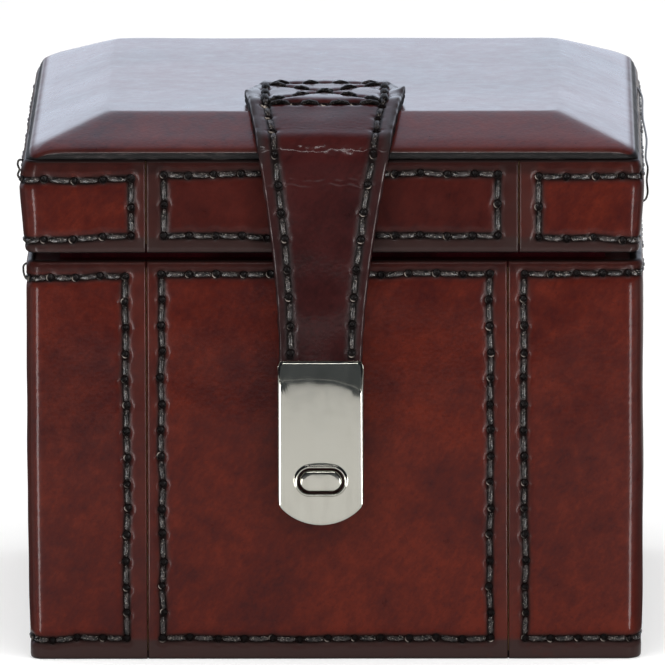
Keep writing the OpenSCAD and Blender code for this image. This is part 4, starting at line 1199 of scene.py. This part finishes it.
def loose_threads():
    """The thread ends seen beside the front corners, from where they leave their stitches."""
    loose_thread("lid_right_loose_thread", [
        (49.7, 30, 80.9), (50.55, 18, 81.3), (50.3, -2, 81.0), (50.95, -25, 81.2),
        (50.5, -40, 80.6), (50.95, -45, 79.8), (50.65, -46.5, 78.0), (50.9, -47, 76.2),
        (50.6, -47, 75.0), (49.6, -46.8, 74.3),
    ], "lid")
    loose_thread("lid_left_loose_thread", [
        (-49.4, -44, 81.0), (-50.6, -45, 81.3), (-50.75, -46, 80.6), (-50.35, -46.2, 79.8),
        (-50.75, -46.3, 79.1), (-50.5, -46.5, 78.5), (-49.5, -46.5, 78.4),
    ], "lid")
    loose_thread("body_left_loose_thread", [
        (-48.8, -45, 63.4), (-49.3, -46, 64.6), (-49.9, -46.5, 64.2), (-49.85, -46.5, 63.0),
        (-49.5, -46.5, 62.0), (-48.7, -46.3, 61.8),
    ], "base")


# ---- cloth ----

def velvet_bar(name, node, body, r):
    """Velvet over a card: a box whose edges and corners are rounded by r. Each section is a
    rounded rectangle, drawn in at both ends by a quarter circle."""
    lo, hi = box_mm(node)
    axis = int(np.argmax(hi - lo))
    u, v = [i for i in range(3) if i != axis]
    middle, half = (lo + hi) / 2, (hi - lo) / 2
    r = min(r, half[u] * 0.98, half[v] * 0.98)
    end = half[axis]
    ends = np.array([0, 0.08, 0.25, 0.5, 1.0]) * r
    long_way = np.concatenate([
        -end + ends, np.linspace(-end + 2 * r, end - 2 * r, 60), (end - ends)[::-1]])
    shrink = roll(end - np.abs(long_way), r)
    corner_r = np.maximum(r - shrink, 0.02)
    over_u, over_v = square_rings(half[u] - shrink, half[v] - shrink, corner_r, 6, 12)
    points = np.zeros((*over_u.shape, 3))
    points[..., axis] = middle[axis] + long_way[:, None]
    points[..., u] = middle[u] + over_u
    points[..., v] = middle[v] + over_v
    piece = skin(name, points, VELVET)
    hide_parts(node)
    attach(piece, body)


def linings():
    """Velvet over the cards that line the body and stand up as the lid's lip, and on the floor."""
    for side in ("front", "back", "left", "right"):
        velvet_bar(f"velvet_lining_{side}", f"liner_{side}", "base", 0.48)
    velvet_bar("velvet_floor", "floor_liner", "base", 0.35)


def lid_lining():
    """Velvet round the lid's inner walls: a band that follows them, round at its lower edge."""
    lo, hi = box_mm("lid_side_lining")
    t = 0.55
    profile = [(0.0, lo[2] + 0.3), (0.15, lo[2] + 0.06), (0.3, lo[2]), (t - 0.1, lo[2] + 0.12),
               (t, lo[2] + 0.4), (t, hi[2]), (0.0, hi[2])]
    insets, zs = (np.array(column) for column in zip(*profile))
    x, y = square_rings(hi[0] - insets, hi[1] - insets, 1.0 - 0.5 * insets, 7, 60)
    rings = np.stack([x, y, zs[:, None] + 0 * x], axis=-1)
    band = skin("lid_velvet_lining", rings, VELVET, joined=True)
    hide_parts("lid_side_lining")
    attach(band, "lid")


def lid_padding():
    """The padding under the lid's top: a crowned pad, pulled up along four crossing seams that
    part it in nine and puffed between them. Its lower face falls off to the edge as a quarter
    circle."""
    lo, hi = box_mm("lid_pad")
    hx, hy = hi[0] - 0.15, hi[1] - 0.15
    inset = np.concatenate([[0, 0.15, 0.4, 0.8, 1.3, 2.0], np.arange(3, hx - 1, 1.1), [hx - 0.4]])
    x, y = square_rings(hx - inset, hy - inset, np.maximum(2 - inset, 0.3), 5, 90)
    seams = bell(np.abs(x) - hx / 3, 0.9) + bell(np.abs(y) - hy / 3, 0.9)
    puff_x, puff_y = (np.cos(v * 3 * math.pi / (2 * half)) ** 2 for v, half in ((x, hx), (y, hy)))
    face = lo[2] + 0.35 + roll(inset[:, None], 2.0) * 0.8 + 0.7 * np.clip(seams, 0, 1.2)
    face = face - 0.35 * puff_x * puff_y + 0.05 * swell(x, y, 8, 41)
    low = np.stack([x, y, face], axis=-1)
    back_x, back_y = square_rings([hx - 0.1, hx - 3, 1.0], [hy - 0.1, hy - 3, 1.0], [2, 1, 0.3], 5, 90)
    back = np.stack([back_x, back_y, np.full(back_x.shape, hi[2])], axis=-1)
    pad = skin("lid_velvet_pad", np.concatenate([low[::-1], back]), VELVET)
    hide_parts("lid_pad")
    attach(pad, "lid")


def bed_drop(d, depth, r):
    """How deep a hollow is at distance d outside its outline, which is negative inside: a rounded
    brim, then a steep wall down to its floor."""
    wall = r + (depth - r) * held(-d / 0.5)
    return np.where(d > 0, roll(d, r), wall)


def cushion_pieces():
    """The watch cushion: rings go from the bed's middle to its brim, over the crowned top to the
    rounded outer edge, down the drawn-in sides and under. Velvet is pulled into the bed, the slot
    and the notches with soft brims."""
    lo, hi = box_mm("watch_cushion")
    hx, hy = hi[0] - 0.12, hi[1] - 0.12
    bed_depth = hi[2] - box_mm("bed_pad")[0][2] + 0.05
    edge_r, edge_roll = 5.0, 3.6
    edge_x, edge_y = square_rings([hx], [hy], [edge_r], 12, 90)
    angle = np.arctan2(edge_y - BED_Y, edge_x)
    radii = np.array([0.4, 8, 15, 20, 23, 24.6, 25.3, 25.6, 25.8, 26.0, 26.15, 26.35, 26.65, 27.05,
                      27.5, 28.1, 28.8])[:, None]
    circle_x, circle_y = radii * np.cos(angle), BED_Y + radii * np.sin(angle)
    share = np.concatenate([
        np.linspace(0, 1, 30)[1:-4], [0.9, 0.93, 0.955, 0.975, 0.99, 1.0]])[:, None]
    x = np.vstack([circle_x, circle_x[-1:] + (edge_x - circle_x[-1:]) * share])
    y = np.vstack([circle_y, circle_y[-1:] + (edge_y - circle_y[-1:]) * share])
    in_bed = np.hypot(x, y - BED_Y) - BED_R
    in_slot = np.maximum(np.abs(x) - SLOT_HALF, np.maximum(y - SLOT_END_Y, BED_Y - y))
    in_notch = np.hypot(np.abs(x) - BED_R, y - BED_Y) - NOTCH_R
    drop = np.maximum(bed_drop(in_bed, bed_depth, 2.2),
                      bed_drop(np.minimum(in_slot, in_notch), SLOT_DEPTH, 1.6))
    from_edge = soft_min(hx - np.abs(x), hy - np.abs(y), 2.0)
    crown = 0.45 * held(from_edge / 8) - roll(from_edge, edge_roll)
    top = np.stack([x, y, hi[2] + crown - drop + 0.06 * swell(x, y, 11, 51)], axis=-1)
    rim_z = float(hi[2] - edge_roll * 1.05)
    levels = np.concatenate([
        np.linspace(rim_z - 1.2, lo[2] + 2, 12), [lo[2] + 1, lo[2] + 0.35, lo[2] + 0.05]])
    high = (levels - lo[2]) / (rim_z - lo[2])
    pull = (0.55 * np.sin(held(high) * math.pi) + roll(levels - lo[2], 1.2) * 0.6)[:, None]
    side_x = edge_x - np.sign(edge_x) * pull * (np.abs(edge_x) > hx - edge_r - 0.1)
    side_y = edge_y - np.sign(edge_y) * pull * (np.abs(edge_y) > hy - edge_r - 0.1)
    side = np.stack([side_x, side_y, levels[:, None] + 0 * side_x], axis=-1)
    smaller = np.array([[0.9], [0.5], [0.02]])
    floor_x, floor_y = edge_x * smaller, edge_y * smaller
    under = np.stack([floor_x, floor_y, np.full(floor_x.shape, lo[2])], axis=-1)
    cushion = skin("velvet_cushion", np.concatenate([top, side, under]), VELVET)
    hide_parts("watch_cushion")
    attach(cushion, "insert")
    bed_pad_piece()
    ribbon_piece()


def bed_pad_piece():
    """The satin pad in the bed: a round crowned pad, gathered to a covered button in its middle,
    with twelve radial tucks that start beside the button and fade outwards."""
    lo, hi = box_mm("bed_pad")
    r_max = hi[0] - 0.15
    r = np.array([0.2, 1.2, 1.9, 2.3, 2.8, 3.6, 5, 7, 10, 13, 16, 19, 21.5, 23.2, 24.4, 25.0, 25.35,
                  r_max])[:, None]
    a = np.linspace(0, 2 * math.pi, 144, endpoint=False)[None]
    e = r_max - r
    dip = bell(r - BUTTON_R, 0.9)
    tucks = 0.16 * np.cos(12 * a) * np.exp(-r / 6) * held((r - BUTTON_R + 0.4) / 0.9)
    crown = 0.75 * held(e / 14) ** 0.6 - 0.8 * roll(e, 1.0)
    top_z = hi[2] + crown - 0.9 * dip + tucks - 0.1
    top = np.stack([r * np.cos(a), BED_Y + r * np.sin(a), top_z], axis=-1)
    low_r = np.array([r_max + 0.05, r_max - 0.2, 12, 0.2])[:, None]
    low_z = np.array([lo[2] + 0.35, lo[2] + 0.02, lo[2] + 0.02, lo[2] + 0.02])[:, None]
    low = np.stack([low_r * np.cos(a), BED_Y + low_r * np.sin(a), low_z + 0 * a], axis=-1)
    pad = skin("satin_bed_pad", np.concatenate([top, low]), SATIN)
    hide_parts("bed_pad")
    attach(pad, "insert")


def ribbon_piece():
    """The ribbon that lifts the cushion: a thin strip up its left side, over its edge and onto its
    top, where it waves a little. Its section is a flat rounded strip carried along that line."""
    lo, hi = box_mm("ribbon_pull")
    x0 = lo[0] + RIBBON_T / 2 + 0.03
    top_z = hi[2] - 0.1
    line = rounded_line([(x0, lo[2] + 0.1), (x0, top_z), (hi[0] - 0.2, top_z)], [1.6], 0.35)
    t, middle_x, middle_z = (line[:, i:i + 1] for i in range(3))
    slope = np.gradient(line[:, 1:], line[:, 0], axis=0)
    nx, nz = -slope[:, 1:], slope[:, :1]
    half = (hi[1] - lo[1]) / 2 + 0.02
    over, up = square_rings([half], [RIBBON_T / 2], [RIBBON_T / 2 * 0.9], 4, 14)
    on_top = held((t - line[-1, 0] + 7) / 7)
    wave = 0.22 * on_top * np.sin(t * 0.9 + over * 0.2)
    x = middle_x + nx * up + 0 * over
    z = middle_z + nz * up + wave
    ribbon = skin("pull_ribbon", np.stack([x, over + 0 * x, z], axis=-1), SATIN)
    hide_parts("ribbon_pull")
    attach(ribbon, "insert")


# ---- studio, in metres ----

FAN = (20, 33)         # directions of a floor strip's two edges, in degrees from the front
FAN_REACH = (0.008, 0.6)       # where it starts and ends, from the box's corner
FAN_CORNER = (0.048, -0.049)   # the right front corner, which the right strip starts from
CARD_Z = 0.001         # cards and strips lie this much above the floor
STRIP_Z = 0.002
MIDDLE_Z = 0.045       # the height that the lamps are aimed at


def plane(name, width, height, at, turn, material):
    """A flat card of the studio, which isn't part of the object."""
    mesh = bpy.data.meshes.new(name)
    w, h = width / 2, height / 2
    mesh.from_pydata([(-w, -h, 0), (w, -h, 0), (w, h, 0), (-w, h, 0)], [], [(0, 1, 2, 3)])
    mesh.materials.append(material)
    card = bpy.data.objects.new(name, mesh)
    card.location = at
    card.rotation_euler = turn
    bpy.context.scene.collection.objects.link(card)
    return card


def seen_rays(tree):
    """1 for the rays that see a surface: straight from the camera, in a mirror or through glass."""
    path = add(tree, "LightPath").node.outputs
    seen = add(tree, "Math", {0: path["Is Camera Ray"], 1: path["Is Glossy Ray"]}, operation="ADD")
    return add(tree, "Math", {0: seen, 1: path["Is Transmission Ray"]}, operation="ADD", use_clamp=True)


def pale_floor():
    """White paper: it takes the object's shadow, and its own glow brings it up to white."""
    material, tree = empty_material("white_paper")
    paper = add(tree, "BsdfDiffuse", {"Color": colour("#e6e6e6")})
    strength = add(tree, "Math", {0: seen_rays(tree), 1: 0.28}, operation="MULTIPLY")
    glow = add(tree, "Emission", {"Strength": strength})
    both = add(tree, "AddShader", {0: paper, 1: glow})
    add(tree, "OutputMaterial", {"Surface": both})
    return material


def dark_card(name, tone):
    """A grey flag: only mirrors see it, as the dark of the room."""
    material, tree = empty_material(name)
    card = add(tree, "BsdfDiffuse", {"Color": colour(tone)})
    add(tree, "OutputMaterial", {"Surface": card})
    return material


def light_strip():
    """A long lamp behind a diffuser, as bright as a row of lit windows."""
    material, tree = empty_material("light_strip")
    lit = add(tree, "Emission", {"Strength": 24})
    add(tree, "OutputMaterial", {"Surface": lit})
    return material


def flags():
    """Grey flags in front, on the floor in front and on the floor beside the box."""
    grey, dark = dark_card("grey_flag", "#5e6367"), dark_card("dark_flag", "#464b4f")
    upright, level = (math.pi / 2, 0, 0), (0, 0, 0)
    return [
        plane("flag_upright", 2.2, 0.9, (0, -1.6, 0.47), upright, grey),
        plane("flag_in_front", 2.2, 1.28, (0, -0.96, CARD_Z), level, dark),
        plane("flag_left", 1.0, 1.1, (-0.556, 0.5, CARD_Z), level, dark),
        plane("flag_right", 1.0, 0.16, (0.556, -0.02, CARD_Z), level, dark),
    ]


def floor_strips():
    """Two lit strips on the floor that fan out from the front corners: they are what a corner of
    the box mirrors as an upright line."""
    lit = light_strip()
    strips = []
    for name, side in (("strip_left", -1), ("strip_right", 1)):
        strip = plane(name, 1, 1, (0, 0, 0), (0, 0, 0), lit)
        corner = np.array([side * FAN_CORNER[0], FAN_CORNER[1]])
        near, far = (np.array([side * math.sin(a), -math.cos(a)]) for a in map(math.radians, FAN))
        start, end = FAN_REACH
        places = (near * start, near * end, far * end, far * start)
        for point, place in zip(strip.data.vertices, places):
            point.co = (*(corner + place), STRIP_Z)
        strips.append(strip)
    return strips


def white_room():
    """Surroundings that are white to what sees them and half as bright as a light. Mirrors see
    them bluish, duller towards the zenith, and dark in front."""
    world = bpy.data.worlds.new("white_room")
    bpy.context.scene.world = world
    world.use_nodes = True
    tree = world.node_tree
    tree.nodes.clear()
    way = add(tree, "TexCoord", out="Generated")
    direction = add(tree, "SeparateXYZ", {0: way}).node.outputs
    high = add(tree, "MapRange", {"Value": direction["Z"], "From Min": 0.25, "From Max": 0.75})
    sky = add(tree, "Mix", {0: high, 6: (0.94, 1.04, 1.22, 1), 7: (0.57, 0.62, 0.77, 1)}, **COLOURS)
    behind = add(tree, "MapRange", {"Value": direction["Y"], "From Min": 0.2, "From Max": 0.6})
    mirrored = add(tree, "Mix", {0: behind, 6: colour("#2b2c33"), 7: sky}, **COLOURS)
    glossy = add(tree, "LightPath", out="Is Glossy Ray")
    tint = add(tree, "Mix", {0: glossy, 6: (1, 1, 1, 1), 7: mirrored}, **COLOURS)
    strength = add(tree, "MapRange", {"Value": seen_rays(tree), "To Min": 0.5})
    room = add(tree, "Background", {"Color": tint, "Strength": strength})
    add(tree, "OutputWorld", {"Surface": room})


def lamps():
    """A soft lamp overhead, and strip lights in front and beside. Mirrors see only the front one."""
    for name, at, width, height, power in (
            ("overhead_softbox", (0.0, -0.2, 1.5), 1.3, 1.3, 13),
            ("front_strip", (0.0, -1.05, 1.15), 1.1, 0.09, 5),
            ("left_strip", (-1.05, -0.95, 0.35), 0.08, 0.9, 5),
            ("right_strip", (1.05, -0.95, 0.35), 0.08, 0.9, 5)):
        lamp = bpy.data.lights.new(name, "AREA")
        lamp.shape = "RECTANGLE"
        lamp.size = width
        lamp.size_y = height
        lamp.energy = power
        light = bpy.data.objects.new(name, lamp)
        light.visible_glossy = name == "front_strip"
        light.location = at
        aim = Vector((0, 0, MIDDLE_Z)) - Vector(at)
        light.rotation_euler = aim.to_track_quat("-Z", "Y").to_euler()
        bpy.context.scene.collection.objects.link(light)


def studio():
    """A pale floor, what the gloss mirrors, the surroundings and the lamps."""
    plane("floor", 8, 8, (0, 0, 0), (0, 0, 0), pale_floor())
    for card in flags() + floor_strips():
        card.visible_camera = False
        card.visible_diffuse = False
        card.visible_shadow = False
    white_room()
    lamps()


def camera():
    """The photograph's view, from a fit to its corners: 9.9 degrees down, from 3 m."""
    target = Vector((-0.00046, 0, 0.04505))
    away, pitch, yaw, tilt = 3.0, math.radians(9.9), math.radians(0.54), math.radians(-0.16)
    data = bpy.data.cameras.new("camera")
    data.lens = 990.2
    data.sensor_width = 36
    data.clip_end = 50
    view = bpy.data.objects.new("camera", data)
    view.location = target + away * Vector((
        math.sin(yaw) * math.cos(pitch), -math.cos(yaw) * math.cos(pitch), math.sin(pitch)))
    aim = (target - view.location).to_track_quat("-Z", "Y")
    view.rotation_euler = (aim @ Euler((0, 0, tilt)).to_quaternion()).to_euler()
    bpy.context.scene.collection.objects.link(view)
    bpy.context.scene.camera = view


camera()
finish_cad_nodes()
body_walls()
lid_walls()
lid_top()
hasp_pieces(strap_pieces())
loose_threads()
linings()
lid_lining()
lid_padding()
cushion_pieces()
studio()
bpy.context.scene.view_settings.view_transform = "Standard"
